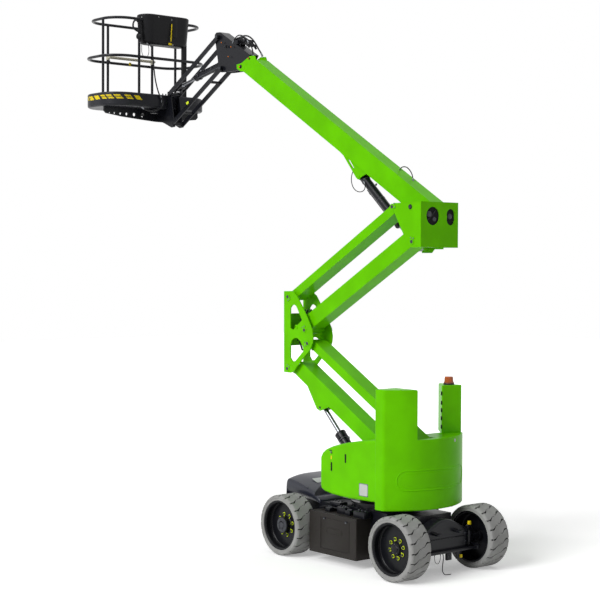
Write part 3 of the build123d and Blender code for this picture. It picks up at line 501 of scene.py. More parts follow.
hoseRoutes = [  # name, body, diameter, length in metres, lay, points
    ("boomTopHose", "main_boom", 12, 0.33, "loose",
     [(-74, -180, 4440), (-90, -180, 4468), (-130, -180, 4486), (-197, -180, 4478), (-255, -180, 4430),
      (-290, -180, 4375), (-297, -180, 4318)]),
    ("boomLiftHose", "main_boom", 10, 0.58, "loose",
     [(395, -64, 4330), (380, -66, 4300), (384, -72, 4262), (415, -82, 4228), (475, -82, 4212),
      (545, -82, 4226), (606, -82, 4272), (636, -82, 4345), (630, -82, 4420), (596, -82, 4470),
      (560, -82, 4498)]),
    ("headHoseOuter", "boom_head", 20, 0.66, "loose",
     [(2980, -150, 6228), (2955, -165, 6262), (2895, -180, 6292), (2790, -190, 6300), (2690, -190, 6262),
      (2600, -185, 6190), (2530, -186, 6100), (2485, -196, 6040), (2472, -205, 6004)]),
    ("headHoseInner", "boom_head", 17, 0.42, "loose",
     [(2830, -120, 6178), (2770, -122, 6212), (2700, -124, 6216), (2620, -126, 6160), (2572, -126, 6090),
      (2562, -126, 6020), (2560, -126, 5990)]),
    ("headHoseLoop", "boom_head", 15, 0.34, "loose",
     [(2900, -60, 6205), (2850, -58, 6258), (2785, -60, 6290), (2715, -74, 6278), (2668, -94, 6234),
      (2636, -108, 6186)]),
    ("consoleCable", "cage", 18, 0.82, "hanging",
     [(4430, 186, 6322), (4385, 186, 6296), (4364, 182, 6220), (4358, 172, 6080), (4356, 150, 5880),
      (4354, 112, 5730), (4352, 66, 5622), (4356, 36, 5578), (4370, 26, 5560)]),
    ("trayHose", "cage", 17, 0.49, "loose",
     [(4362, 60, 5636), (4344, 44, 5604), (4336, 24, 5556), (4334, 30, 5500), (4336, 80, 5450),
      (4340, 160, 5424), (4348, 250, 5420), (4364, 310, 5436), (4385, 335, 5462)]),
    ("consoleLoop", "cage", 8, 0.51, "hanging",
     [(4424, 345, 6332), (4395, 350, 6334), (4368, 356, 6312), (4356, 362, 6262), (4356, 364, 6205),
      (4356, 345, 6152), (4356, 304, 6130), (4356, 262, 6152), (4358, 244, 6205), (4368, 240, 6270),
      (4385, 240, 6315), (4410, 241, 6336)]),
    ("brakeLoop", "chassis", 6, 0.27, "loose",
     [(-1000, 142, 242), (-1000, 146, 205), (-1000, 140, 165), (-1000, 120, 135), (-1000, 99, 128),
      (-1000, 78, 135), (-1000, 58, 165), (-1000, 52, 205), (-1000, 56, 242)]),
    ("earthStrap", "chassis", 10, 0.34, "hanging",
     [(-1010, 30, 240), (-1030, 32, 205), (-1040, 60, 120), (-1044, 70, 60), (-1050, 45, 14),
      (-1052, 0, 7), (-1052, -60, 7)]),
]


def makeHoses():
    for name, body, diameter, length, lay, points in hoseRoutes:
        spots = [at(*point) for point in points]
        r = diameter / 2
        piece = roundLine(name, spots, r, fineness=10, sides=8)
        piece.data.materials.append(hoseRubber)
        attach(piece, body)
        profile = [(0, -6), (r + 3, -6), (r + 3, 10), (r + 1.5, 12), (r + 2.5, 14), (r + 2.5, 30), (r + 0.4, 33),
                   (0, 33)]
        ferrules = []
        if name != "earthStrap":
            for end, before in ((spots[0], spots[1]), (spots[-1], spots[-2])):
                ferrules.append(lathePiece(profile, end, (before - end).normalized(), steel, 20))
            ferrules = [gather(name + "Ends", ferrules, body)]
        tuple(at(*points[0]))
    print("hoses made")


makeHoses()


tyre = {"radius": 352.0, "halfWidth": 145.0, "lugs": 20, "depth": 13.0, "shoulder": 34.0, "beadRadius": 284.0,
        "slant": -1.1}


def tyreCrown(y):  # radius of the tread at this distance from the middle
    over = max(0.0, abs(y) - (tyre["halfWidth"] - tyre["shoulder"])) / tyre["shoulder"]
    return tyre["radius"] - 1.2 - 19.0 * over ** 3


def treadBand():
    pitch = 2 * math.pi * tyre["radius"] / tyre["lugs"]
    rows = [(-145, -8, 13), (-132, -4, 11), (-112, 4, 7), (-92, 14, 12), (-70, 12, 13), (-48, 0, 8), (-30, -8, 4.5),
            (-12, 8, 4.5), (12, -8, 4.5), (30, 8, 4.5), (48, 0, 8), (70, -12, 13), (92, -14, 12), (112, -4, 7),
            (132, 4, 11), (145, 8, 13)]  # across, along, half the groove's width
    rows = [(y, x + pitch * tyre["slant"] * (y + 145) / 290, half) for y, x, half in rows]
    outline = [(x + half, y) for y, x, half in rows] + [(x + pitch - half, y) for y, x, half in reversed(rows)]
    lug = flatPiece(outline, (tyre["depth"] - 3) / 2000, 0.0015, 0, 0)
    bpy.ops.object.mode_set(mode="EDIT")
    bpy.ops.mesh.select_all(action="SELECT")
    bpy.ops.mesh.remove_doubles(threshold=0.00005)
    for k in range(1, 7):
        bpy.ops.mesh.select_all(action="SELECT")
        bpy.ops.mesh.bisect(plane_co=(pitch * (k / 4) / 1000, 0, 0), plane_no=(1, 0, 0))
    for y in (-136, -125, -110, 110, 125, 136):
        bpy.ops.mesh.select_all(action="SELECT")
        bpy.ops.mesh.bisect(plane_co=(0, y / 1000, 0), plane_no=(0, 1, 0))
    sealed()
    modified(lug, "ARRAY", count=tyre["lugs"], use_relative_offset=False, use_constant_offset=True,
             constant_offset_displace=(pitch / 1000, 0, 0))
    for vertex in lug.data.vertices:  # wrap the strip round the casing
        x, y, z = (value * 1000 for value in vertex.co)
        angle = x / tyre["radius"]
        reach = tyreCrown(y) + z - tyre["depth"] / 2
        vertex.co = (reach * math.cos(angle) / 1000, reach * math.sin(angle) / 1000, y / 1000)
    lug.data.materials.append(tyreRubber)
    return lug


def makeTyre():
    half, bead, top = tyre["halfWidth"], tyre["beadRadius"], tyre["radius"]
    side = [(272, 128), (bead, 128), (bead + 2, half - 7), (bead + 5, half - 2), (bead + 9, half - 1),
            (bead + 14, half - 3.5), (bead + 30, half - 3), (bead + 34, half - 0.5), (bead + 40, half - 0.5),
            (top - 20, half - 4)]
    floor = [(tyreCrown(y) - 11.5, y) for y in (132, 118, 104, 60, 0)]
    halfProfile = side + floor
    profile = halfProfile + [(radius, -y) for radius, y in reversed(halfProfile[:-1])]
    casing = lathePiece(profile, (0, 0, 0), (0, 0, 1), tyreRubber, 120, closed=True)
    # the casing's floor between the lugs takes the darker rubber, as painted shade in the grooves
    casing.data.materials.append(paintedGrooveShade)
    for face in casing.data.polygons:
        across = math.hypot(face.center.x, face.center.y) * 1000
        if abs(face.center.z) < 0.132 and across > 300:
            face.material_index = 1
    return casing, treadBand()


wheels = ("front_left", "front_right", "rear_left", "rear_right")


def wheelPlace(name):  # its centre, and which way it faces
    low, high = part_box("tyre_" + name)
    centre = (low + high) / 2
    return centre, 1 if centre.y > 0 else -1


def makeTyres():
    casing, band = makeTyre()
    for name in wheels:
        centre, outward = wheelPlace(name)
        parts = []
        for source in (casing, band):
            part = copied(source)
            part.rotation_euler = (-outward * math.pi / 2, 0, 0)
            part.location = centre
            parts.append(part)
        piece = gather("tyreTread_" + name, parts, "wheel_" + name, 28)
        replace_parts(piece, "tyre_" + name)
    for source in (casing, band):
        bpy.data.objects.remove(source)
    print("tyres made")


makeTyres()


wheelTrim = {"frontCircle": 122.0, "rearCircle": 104.0, "nuts": 8, "face": 34.0, "frontFace": 96.0,
             "rearFace": 62.0}


def makeWheelTrim():
    # one nut on its stud, with the yellow pointer ring that shows if it turns
    nut = roundPiece(14.5, 13, (0, 0, 0.0085), (0, 0, 1), blackPaint, 1.6, 6)
    collar = [(9, 0), (18, 0), (18.5, 1.2), (17, 3), (9, 3)]
    collar = lathePiece(collar, (0, 0, 0), (0, 0, 1), blackPaint, 24, closed=True)
    stud = roundPiece(6, 24, (0, 0, 0.010), (0, 0, 1), steel, 1.0, 16)
    pointer = [(13.5, 3), (20, 3), (20.5, 5), (19.5, 9), (14.5, 9)]
    pointer = lathePiece(pointer, (0, 0, 0), (0, 0, 1), nutGlow, 24, closed=True)
    tongue = plate([(-8, 14), (8, 14), (3, 30), (-3, 30)], 4, Vector((0, 0, 0.0055)), (1, 0, 0), (0, 1, 0), nutGlow)
    source = [nut, collar, stud, pointer, tongue]
    for name in wheels:
        centre, outward = wheelPlace(name)
        front = name.startswith("front")
        circle = wheelTrim["frontCircle" if front else "rearCircle"]
        hub = wheelTrim["frontFace" if front else "rearFace"]
        parts = []
        for k in range(wheelTrim["nuts"]):
            around = 2 * math.pi * (k + 0.3) / wheelTrim["nuts"]
            turn = Matrix.Rotation(-outward * math.pi / 2, 4, "X") @ Matrix.Rotation(around, 4, "Z")
            lean = Matrix.Rotation(math.radians(90 + 25 * (k % 3 - 1)), 4, "Z")
            for piece in source:
                part = copied(piece)
                slide = Matrix.Translation((circle / 1000, 0, wheelTrim["face"] / 1000))
                part.matrix_world = Matrix.Translation(centre) @ turn @ slide @ lean @ piece.matrix_world
                parts.append(part)
        face = centre + Vector((0, outward * hub / 1000, 0))
        if front:
            cover = [(0, 9), (20, 9), (22, 11), (26, 11), (28, 9), (70, 9), (78, 7), (84, 4), (84, -3), (0, -3)]
            screws, screwCircle = 6, 62
        else:
            cover = [(0, 22), (16, 22), (20, 18), (38, 16), (44, 12), (46, 6), (57, 4), (60, 0), (60, -3), (0, -3)]
            screws, screwCircle = 5, 51
        parts.append(lathePiece(cover, face, (0, outward, 0), steelGrey if front else blackPaint, 48))
        for k in range(screws):
            around = 2 * math.pi * (k + 0.2) / screws
            x, z = math.cos(around) * screwCircle, math.sin(around) * screwCircle
            spot = face + Vector((x, outward * (8 if front else 4), z)) / 1000
            parts += hexBolt(spot, (0, outward, 0), 0.55, steelGrey if front else steel, blackPaint)
        for radius, offset, thick in ((256, 38, 5.0), (258, 60, 2.2), (262, 121, 3.0)):
            ringSpot = centre + Vector((0, outward * offset / 1000, 0))
            section = [(radius - thick, 0), (radius, -thick), (radius + thick, 0), (radius, thick)]
            parts.append(lathePiece(section, ringSpot, (0, outward, 0), rimPaint, 96, closed=True))
        valve = [(0, 30), (3, 30), (4, 26), (4, 10), (7, 6), (8, 0), (0, 0)]
        spot = centre + Vector((0.205, outward * 0.034, 0.09))
        parts.append(lathePiece(valve, spot, (0, outward, 0), hoseRubber, 16))
        gather("wheelTrim_" + name, parts, "wheel_" + name)
    for piece in source:
        bpy.data.objects.remove(piece)
    print("wheel trim made")


makeWheelTrim()


def sideMark(x, y, z, width, height, radius, finish, thick=2.0, side=1):
    outline = roundedOutline(width, height, radius)
    return plate(outline, thick, at(x, side * y, z), (-side, 0, 0), (0, 0, 1), finish, 0.5)


def ringPiece(outline, origin, across, up, finish, radius):  # a round bead along a closed outline
    across, up = Vector(across), Vector(up)
    points = [origin + (across * x + up * z) / 1000 for x, z in outline]
    return tubePiece(points, radius, finish, closed=True, sides=6)


slewX, beaconSpot = -80, (-556, -512)
coverTrim = {"slotWidth": 24.0, "side": 585.0, "plateX": -337.0, "plateZ": 900.0}
coverSlots = [(198, 1101, 100), (-37, 1216, 100)]  # x, z, height


def makeCoverTrim():
    width, face, plateX, plateZ = (coverTrim[key] for key in ("slotWidth", "side", "plateX", "plateZ"))
    for node, side in (("canopy_left", 1), ("canopy_right", -1)):
        parts = []
        for x, z, height in coverSlots:
            # each slot is a flat dark plate of painted shade inside a lime rim, not a cut opening
            parts.append(sideMark(x, face, z, width, height, width / 2 - 0.5, paintedGapShade, 2.4, side))
            rim = roundedOutline(width + 5, height + 5, width / 2 + 2, 6)
            parts.append(ringPiece(rim, at(x, side * (face + 0.5), z), (1, 0, 0), (0, 0, 1), lime, 2.0))
        parts.append(sideMark(203, face, 1204, 17, 40, 3, brightTag, 2.6, side))
        lock = [(0, 7), (4, 7), (5, 5), (9, 5), (11, 3), (11, 0), (0, 0)]
        parts.append(lathePiece(lock, at(207, side * face, 1262), (0, side, 0), steel, 24))
        # the small dark mark by the lock is also a plate of painted shade
        for mark in ((214, face, 1282, 44, 10, 4, blackPaint, 9), (192, face, 1258, 12, 26, 4, paintedGapShade, 6),
                     (plateX, face, plateZ, 146, 142, 5, steel, 2.4),
                     (plateX, face + 1, plateZ, 132, 128, 3, palePlate, 2.6)):
            parts.append(sideMark(*mark, side))
        for x in (-63, 63):
            for z in (-61, 61):
                parts += hexBolt(at(plateX + x, side * (face + 1.6), plateZ + z), (0, side, 0), 0.4, steel)
        gather("coverTrim_" + node, parts, "turntable")
    print("cover trim made")


tailPanel = {"radius": 858.0, "halfSpan": 36.0, "low": 934.0, "high": 1150.0}


def onTail(angle, z, proud=0.0):  # a point on the round tail, its angle measured from straight back
    reach = tailPanel["radius"] + proud
    turn = math.radians(angle)
    return at(slewX - reach * math.cos(turn), reach * math.sin(turn), z)


def makeTail():
    low, high, span = (tailPanel[key] for key in ("low", "high", "halfSpan"))
    half, middle = (high - low) / 2, (low + high) / 2
    swing = math.degrees(half / tailPanel["radius"])
    loop = []
    for side in (1, -1):  # along the top and round one end, then back along the bottom
        for k in range(25):
            loop.append((side * (-span + swing + (2 * span - 2 * swing) * k / 24), middle + side * half))
        for k in range(1, 12):
            turn = math.pi * k / 12
            loop.append((side * (span - swing + swing * math.sin(turn)), middle + side * half * math.cos(turn)))
    parts = [tubePiece([onTail(angle, z, -4) for angle, z in loop], 9, lime, closed=True, sides=8)]
    inner = [(angle * 0.93, middle + (z - middle) * 0.72) for angle, z in loop]
    parts.append(tubePiece([onTail(angle, z, -3) for angle, z in inner], 5, lime, closed=True, sides=8))
    spot = onTail(-18, 1440)
    away = (onTail(-18, 1440, 10) - spot).normalized()
    parts.append(lathePiece([(0, 5), (14, 5), (17, 3), (18, -2), (0, -2)], spot, away, palePlate, 24))
    # the tower's louvre slots and the thin strip below are dark slabs of painted shade, not openings
    for z in (1935, 1830, 1745, 1655, 1560):
        parts.append(boxBetween((-626, -338, z - 22), (-612, -329, z + 22), paintedGapShade, 1.5))
    parts.append(boxBetween((-636, 40, 1484), (-560, 190, 1489), paintedGapShade, 2))
    gather("tailTrim", parts, "turntable")
    ribs = []
    for k in range(5):
        rib = [(52.5 - 0.9 * k, -2), (54.0 - 0.9 * k, 0), (52.5 - 0.9 * k, 2), (50, 0)]
        ribs.append(lathePiece(rib, at(*beaconSpot, 2056 + 10 * k), (0, 0, 1), amber, 40, closed=True))
    base = [(58, 0), (62, 0), (62, 14), (60, 22), (56, 29), (54, 31), (50, 31), (50, 27), (58, 20)]
    ribs.append(lathePiece(base, at(*beaconSpot, 2019), (0, 0, 1), blackPaint, 40, closed=True))
    gather("beaconTrim", ribs, "turntable")
    print("tail made")


hood = {"half": 425.0, "low": 560.0, "swingRadius": 872.0, "swingLow": 690.0}
hoodLines = [  # x, crown's height, side's height
    (566, 648, 640), (600, 690, 672), (650, 738, 706), (720, 786, 746), (800, 822, 776), (900, 852, 806),
    (1000, 872, 828), (1090, 884, 842), (1150, 888, 846), (1178, 880, 838), (1192, 860, 820), (1197, 830, 795),
    (1198, 760, 740), (1198, 660, 655), (1196, 560, 560),
]


def makeHood():  # the battery hood as one smooth shell, cut clear of the swinging tail
    half = hood["half"]
    across = [(-1, 0), (-0.997, 0.5), (-0.96, 0.86), (-0.88, 1)] + [(k / 10, 1) for k in range(-7, 8)]
    across += [(0.88, 1), (0.96, 0.86), (0.997, 0.5), (1, 0)]
    points, faces = [], []
    for x, crown, edge in hoodLines:
        for y, rise in across:
            dome = edge + (crown - edge) * max(0.0, 1 - (abs(y) / 0.94) ** 3)
            z = hood["low"] + (dome - hood["low"]) * (0 if rise == 0 else 0.93 + 0.07 * rise if rise < 1 else 1)
            inset = 6 * max(0.0, (x - 1140) / 58) ** 2 * abs(y)
            points.append(at(x, y * (half - inset), z))
    wide = len(across)
    last = (len(hoodLines) - 1) * wide
    for j in range(len(hoodLines) - 1):
        for k in range(wide - 1):
            a = j * wide + k
            faces.append((a, a + wide, a + wide + 1, a + 1))
        faces.append((j * wide, j * wide + wide - 1, (j + 1) * wide + wide - 1, (j + 1) * wide))
    faces += [tuple(range(wide)), tuple(range(last, last + wide))]
    shell = meshPiece("hoodShell", points, faces)
    sealed(0.00002)
    middle = at(slewX, 0, hood["swingLow"] + 300)
    swing = roundPiece(hood["swingRadius"], 600, middle, (0, 0, 1), hoodPlastic, 0, 96)
    modified(shell, "SUBSURF", levels=2)
    modified(shell, "BOOLEAN", object=swing, solver="EXACT")
    bpy.data.objects.remove(swing)
    dress(shell, hoodPlastic)
    parts = [shell]
    arch = [(806, 772), (900, 802), (1000, 824), (1090, 838), (1140, 842)]
    for side in (1, -1):
        parts.append(runPiece([(x, side * 416, z - 5) for x, z in arch], 8, hoodPlastic))
    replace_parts(gather("hoodShell", parts, "chassis", 45), "front_hood")
    print("hood made")


deckBlocks = [  # x, y and z, from and to
    (240, 420, 300, 420, 620, 666), (60, 200, 420, 500, 566, 640), (-40, 40, 440, 520, 566, 622),
    (-300, -120, 430, 540, 566, 640), (300, 380, 430, 520, 566, 612),
]
boxTrim = {"face": 609.0, "deck": 566.0, "x0": -140.0, "x1": 348.0, "low": 165.0, "high": 520.0}


def makeChassisTrim():
    parts = []
    x0, x1, low, high, face, deck = (boxTrim[key] for key in ("x0", "x1", "low", "high", "face", "deck"))
    midX, midZ = (x0 + x1) / 2, (low + high) / 2
    for side in (1, -1):
        parts.append(sideMark(midX, face, midZ, x1 - x0 - 14, high - low - 14, 14, boxPlastic, 4, side))
        parts.append(sideMark(midX + 10, face + 2, midZ + 36, 250, 52, 22, boxPlastic, 5, side))
        spot = at(midX + 10, side * (face + 2), midZ + 36)
        parts.append(ringPiece(roundedOutline(268, 70, 30), spot, (1, 0, 0), (0, 0, 1), boxPlastic, 2.2))
        for x in (x0 + 60, x1 - 60):
            parts.append(sideMark(x, face + 3, high - 10, 44, 26, 6, blackPaint, 7, side))
            parts.append(sideMark(x, face + 5, high - 16, 18, 12, 4, steel, 7, side))
        for x in (-235, 533):
            for z in (130, 330, 545):
                parts += hexBolt(at(x, side * (face + 3), z), (0, side, 0), 0.55, blackPaint)
        for x in (-180, 60, 300, 480):
            y = side * 596
            parts.append(boxBetween((x - 14, y - 8, deck), (x + 14, y + 8, deck + 7), blackPaint, 2))
        parts.append(runPiece([(x, side * (face - 1), deck) for x in (-248, 546)], 3, boxPlastic, 6))
    # the cooling slots are thin dark slabs of painted shade on the nose face
    for k in range(7):  # cooling slots on the hood's nose
        parts.append(boxBetween((1194, -210, 640 + 22 * k), (1200, 210, 648 + 22 * k), paintedGapShade, 1.5))
    label = roundedOutline(105, 150, 8)
    parts.append(plate(label, 3, at(860, 190, 835), (0.93, 0, 0.36), (0, 1, 0), palePlate, 0.6))
    gather("bodyTrim", parts, "chassis")
    clutter = []  # valves and cable runs on the deck, under the covers
    stub = [(0, 14), (9, 14), (10, 12), (10, 0), (0, 0)]
    for x0, x1, y0, y1, z0, z1 in deckBlocks:
        for side in (1, -1):
            clutter.append(boxBetween((x0, side * y0, z0), (x1, side * y1, z1), blackPaint, 6))
            for k in range(3):
                spot = at(x0 + (x1 - x0) * (0.2 + 0.3 * k), side * (y0 + y1) / 2, z1)
                clutter.append(lathePiece(stub, spot, (0, 0, 1), steelGrey, 16))
    for side in (1, -1):
        for k in range(4):
            y = side * (400 + 22 * k)
            run = [(520, y, 590), (440, y, 600 + 6 * k), (200, y + 8, 598 + 5 * k), (-60, y, 600),
                   (-240, y - 20 * side, 590)]
            clutter.append(runPiece(run, 7, hoseRubber))
    gather("deckValves", clutter, "chassis")
    ring = []
    for k in range(28):
        turn = 2 * math.pi * k / 28
        spot = at(slewX + 385 * math.cos(turn), 385 * math.sin(turn), 640)
        ring += hexBolt(spot, (0, 0, 1), 0.8, steelGrey)
    gather("slewBolts", ring, "chassis")
    print("chassis trim made")


knuckleRun = [  # x, step in x to the next hose, z
    (1150, 20, 2345), (1190, 18, 2410), (1225, 16, 2480), (1215, 14, 2640), (1170, 16, 2780), (1120, 14, 2830),
]
knuckleInside = {"rear": -886.0, "half": 262.0, "low": 3600.0, "high": 4030.0}


def makeInsides():
    rear, half, low, high = (knuckleInside[key] for key in ("rear", "half", "low", "high"))
    # a dark sheet of painted shade behind the rear plate stands for the shaded inside seen through its openings
    parts = [boxBetween((rear, -half, low), (rear + 3, half, high), paintedGapShade, 0.8)]
    for y, z, r in ((150, 3925, 30), (70, 3870, 20), (-168, 3905, 26)):
        cap = [(0, 12), (r - 6, 12), (r, 8), (r + 6, 0), (0, 0)]
        parts.append(lathePiece(cap, at(rear, y, z), (-1, 0, 0), steelGrey, 28))
    parts.append(runPiece([(rear - 4, 180, 3860), (rear - 6, 120, 3900), (rear - 4, 60, 3965)], 6, hoseRubber, 6))
    gather("knuckleInside", parts, "upper_knuckle")
    runs = []
    for k, y in enumerate((60, 96, 132, 168)):
        runs.append(runPiece([(x + step * k, y, z) for x, step, z in knuckleRun], 11, hoseRubber))
    runs.append(boxBetween((1215, 50, 2455), (1300, 180, 2505), blackPaint, 8))
    gather("knuckleHoses", runs, "middle_knuckle")


coverSide = [(336, 300), (340, 420), (334, 466), (312, 486), (250, 521), (175, 558), (110, 590), (50, 606)]  # y, z
coverLine = [(-y, z) for y, z in coverSide] + [(0, 609)] + coverSide[::-1]


def makeAxleCover():  # one pressed cover with soft edges over the axle beam
    stations = [(-1021, 60), (-1025, 34), (-1025, 16), (-1020, 5), (-1008, 0), (-960, -2), (-900, -2), (-872, -2)]
    points, faces = [], []
    for x, shrink in stations:
        for y, z in coverLine:
            points.append(at(x, y * (1 - shrink / 360), z - shrink * (z - 290) / 330))
    wide = len(coverLine)
    for j in range(len(stations) - 1):
        for k in range(wide - 1):
            a = j * wide + k
            faces.append((a, a + 1, a + wide + 1, a + wide))
    faces.append(tuple(range(wide)))
    piece = meshPiece("cover", points, faces)
    modified(piece, "SOLIDIFY", thickness=0.003, offset=1)
    sealed()
    piece.data.materials.append(blackPaint)
    gather("axleCover", [piece], "chassis", 50)


kingpin = {"x": -930.0, "y": 452.0}


def makeRearAxle():
    parts = []
    for y in (-300, 300):
        for z in (340, 430):
            parts += hexBolt(at(-1024, y, z), (-1, 0, 0), 0.9, steelGrey)
    for low, high, finish, soft in (
        ((-1031, -300, 396), (-1020, 300, 404), rimPaint, 2),
        ((-1034, -90, 156), (-1006, -10, 236), blackPaint, 6),
        ((-1028, -262, 160), (-1014, -228, 196), brightTag, 3),
        ((-1014, -270, 150), (-1000, -180, 250), blackPaint, 5),
    ):
        parts.append(boxBetween(low, high, finish, soft))
    valve = [(0, 8), (9, 8), (11, 5), (13, 2), (13, -4), (0, -4)]
    for y in (-68, -32):
        parts.append(lathePiece(valve, at(-1034, y, 196), (-1, 0, 0), steelGrey, 20))
    steering = [(0, -4), (26, -4), (28, 0), (28, 250), (26, 254), (0, 254)]
    parts.append(lathePiece(steering, at(-890, -130, 240), (0, 1, 0), blackPaint, 28))
    parts.append(lathePiece([(0, 0), (11, 0), (11, 120), (0, 120)], at(-890, 122, 240), (0, 1, 0), chrome, 20))
    gather("rearAxleTrim", parts, "chassis")
    for name, side in (("knuckle_left", 1), ("knuckle_right", -1)):
        top = [(0, 12), (16, 12), (20, 9), (24, 2), (34, 0), (34, -3), (0, -3)]
        foot = [(0, 8), (14, 8), (18, 4), (26, 0), (0, 0)]
        y = side * 420
        caps = [
            lathePiece(top, at(kingpin["x"], side * kingpin["y"], 477), (0, 0, 1), steelGrey, 28),
            lathePiece(foot, at(kingpin["x"], side * kingpin["y"], 227), (0, 0, -1), steelGrey, 24),
            boxBetween((-990, y - 16, 500), (-962, y + 16, 540), brightTag, 3),
            boxBetween((-984, y - 12, 440), (-968, y + 12, 502), blackPaint, 3),
        ]
        gather("kingpin_" + name, caps, "chassis")
    print("rear axle made")


knucklePins = [  # x and z, keeper's direction, body
    (1345, 2125, (-0.5, 0, 0.9), "middle_knuckle"),
    (978, 2441, (1, 0, -0.2), "middle_knuckle"),
    (1034, 2597, (0.4, 0, 1), "middle_knuckle"),
    (1345, 2982, (-0.6, 0, -0.8), "middle_knuckle"),
    (-762.3, 3625.7, (-0.2, 0, 1), "upper_knuckle"),
    (-451.3, 4010.7, (-0.9, 0, 0.3), "upper_knuckle"),
]


pinSide = 287.0  # the knuckles' outer faces


def makePins():
    grouped = {}
    for x, z, keeper, body in knucklePins:
        parts = grouped.setdefault(body, [])
        parts += pinCap(at(x, pinSide, z), (0, 1, 0), 1.0, lime, keeper)
        parts += pinCap(at(x, -25 if body == "middle_knuckle" else -pinSide, z), (0, -1, 0), 0.95, lime, None)
    for body, parts in grouped.items():
        gather("pins_" + body, parts, body)
    boomPin = pinCap(at(-735, pinSide, 4003), (0, 1, 0), 0.8, blackPaint, None)
    boomPin += pinCap(at(-735, -pinSide, 4003), (0, -1, 0), 1.2, lime, (0, 0, 1))
    gather("pins_boom", boomPin, "upper_knuckle")
    tip = []
    for x, z in ((2725, 5876), (2541, 5968)):
        tip += hexBolt(at(x, -40, z), (0, 1, 0), 1.1, copper, blackPaint)
        tip += hexBolt(at(x, -240, z), (0, -1, 0), 1.1, copper, blackPaint)
    gather("pins_tip", tip, "main_boom")
    head = []
    for x, z, scale in ((3212, 6308, 0.9), (3140, 5900, 0.9), (3040, 6170, 0.55)):
        for side in (1, -1):
            head += pinCap(at(x, -140 + side * 112, z), (0, side, 0), scale, blackPaint, None)
    for x, z in ((2905, 6150), (2960, 6030), (3110, 6225)):
        head += hexBolt(at(x, -40, z), (0, 1, 0), 0.9, copper, blackPaint)
    gather("pins_head", head, "boom_head")
    print("pins made")


cylinders = [  # barrel's body, base x and z, eye x and z, y, barrel and rod radius, barrel length
    ("lower_lift_barrel", -40, 808, 850, 1690, 131, 58, 26, 840),
    ("boom_lift_barrel", 494, 4394, -430, 3558, -140, 52, 27, 830),
    ("jib_lift_barrel", 3100, 5985, 4116.7, 5775.1, -140, 38, 20, 700),
]


elbow = [(0, 22), (8, 22), (9.5, 20), (9.5, 14), (12, 12), (12, 4), (10, 0), (0, 0)]


def makeCylinders():
    for body, x, z, eyeX, eyeZ, y, barrel, bar, length in cylinders:
        base = at(x, y, z)
        along = (at(eyeX, y, eyeZ) - base).normalized()
        gland = [(bar + 0.6, -6), (barrel + 3, -6), (barrel + 9, -4), (barrel + 9, 12), (barrel + 6, 16),
                 (bar + 12, 18), (bar + 9, 26), (bar + 1.2, 28), (bar + 0.6, 26)]
        parts = [lathePiece(gland, base + along * length / 1000, along, blackPaint, 48, closed=True)]
        for spot, radius in ((0.09, barrel + 2.4), (0.5, barrel + 1.6), (0.9, barrel + 9)):
            band = [(radius - 3, -6), (radius, -6), (radius + 1.2, -4), (radius + 1.2, 4), (radius, 6),
                    (radius - 3, 6)]
            parts.append(lathePiece(band, base + along * length * spot / 1000, along, steelGrey, 48, closed=True))
        upright = Vector((-along.z, 0, along.x))
        upright = -upright if upright.z < 0 else upright
        for spot in (0.28, 0.86):
            foot = base + along * length * spot / 1000 + upright * (barrel + 15) / 1000
            parts.append(lathePiece(elbow, foot, upright, steel, 20))
        gather("cylinderTrim_" + body, parts, body)
    print("cylinders made")


cage = {"rear": 4375.0, "left": 815.0, "middleX": 4795.0, "corner": 320.0, "skirt": (5562.0, 5616.0),
        "lean": 52.0, "straight": 100.0, "floor": 5505.0}
stripes = [  # where each starts and ends along the tray's skirt
    (-205, -180), (-150, -48), (-5, 100), (148, 222), (250, 328), (359, 452), (505, 595), (648, 735),
]


def onTray(along, z, proud):  # a point on the tray's skirt, along measured from its left end back round the corner
    r, straight, middle, left = (cage[key] for key in ("corner", "straight", "middleX", "left"))
    if abs(along) < straight:
        return at(middle - along, left + proud, z)
    arc = (abs(along) - straight) / r
    toRear = 1 if along > 0 else -1
    if arc < math.pi / 2:
        reach = r + proud
        return at(middle - toRear * (straight + reach * math.sin(arc)), left - r + reach * math.cos(arc), z)
    return at(cage["rear"] - proud, left - r - (arc - math.pi / 2) * r, z)


def makeStripes():
    (low, high), lean = cage["skirt"], cage["lean"] / 2
    parts = []
    for first, last in stripes:
        steps, points, faces = 6, [], []
        for proud in (-3.0, 1.2):
            for k in range(steps + 1):
                along = first + (last - first) * k / steps
                points += [onTray(along - lean, high, proud), onTray(along + lean, low, proud)]
        count = 2 * (steps + 1)
        for k in range(steps):
            a, b = 2 * k, 2 * k + count
            faces += [(a, a + 1, a + 3, a + 2), (b, b + 2, b + 3, b + 1), (a, a + 2, b + 2, b),
                      (a + 1, b + 1, b + 3, a + 3)]
        for k in (0, steps):
            a, b = 2 * k, 2 * k + count
            faces.append((a, b, b + 1, a + 1))
        piece = meshPiece("stripe", points, faces)
        sealed()
        piece.data.materials.append(brightTag)
        parts.append(piece)
    gather("trayStripes", parts, "cage")


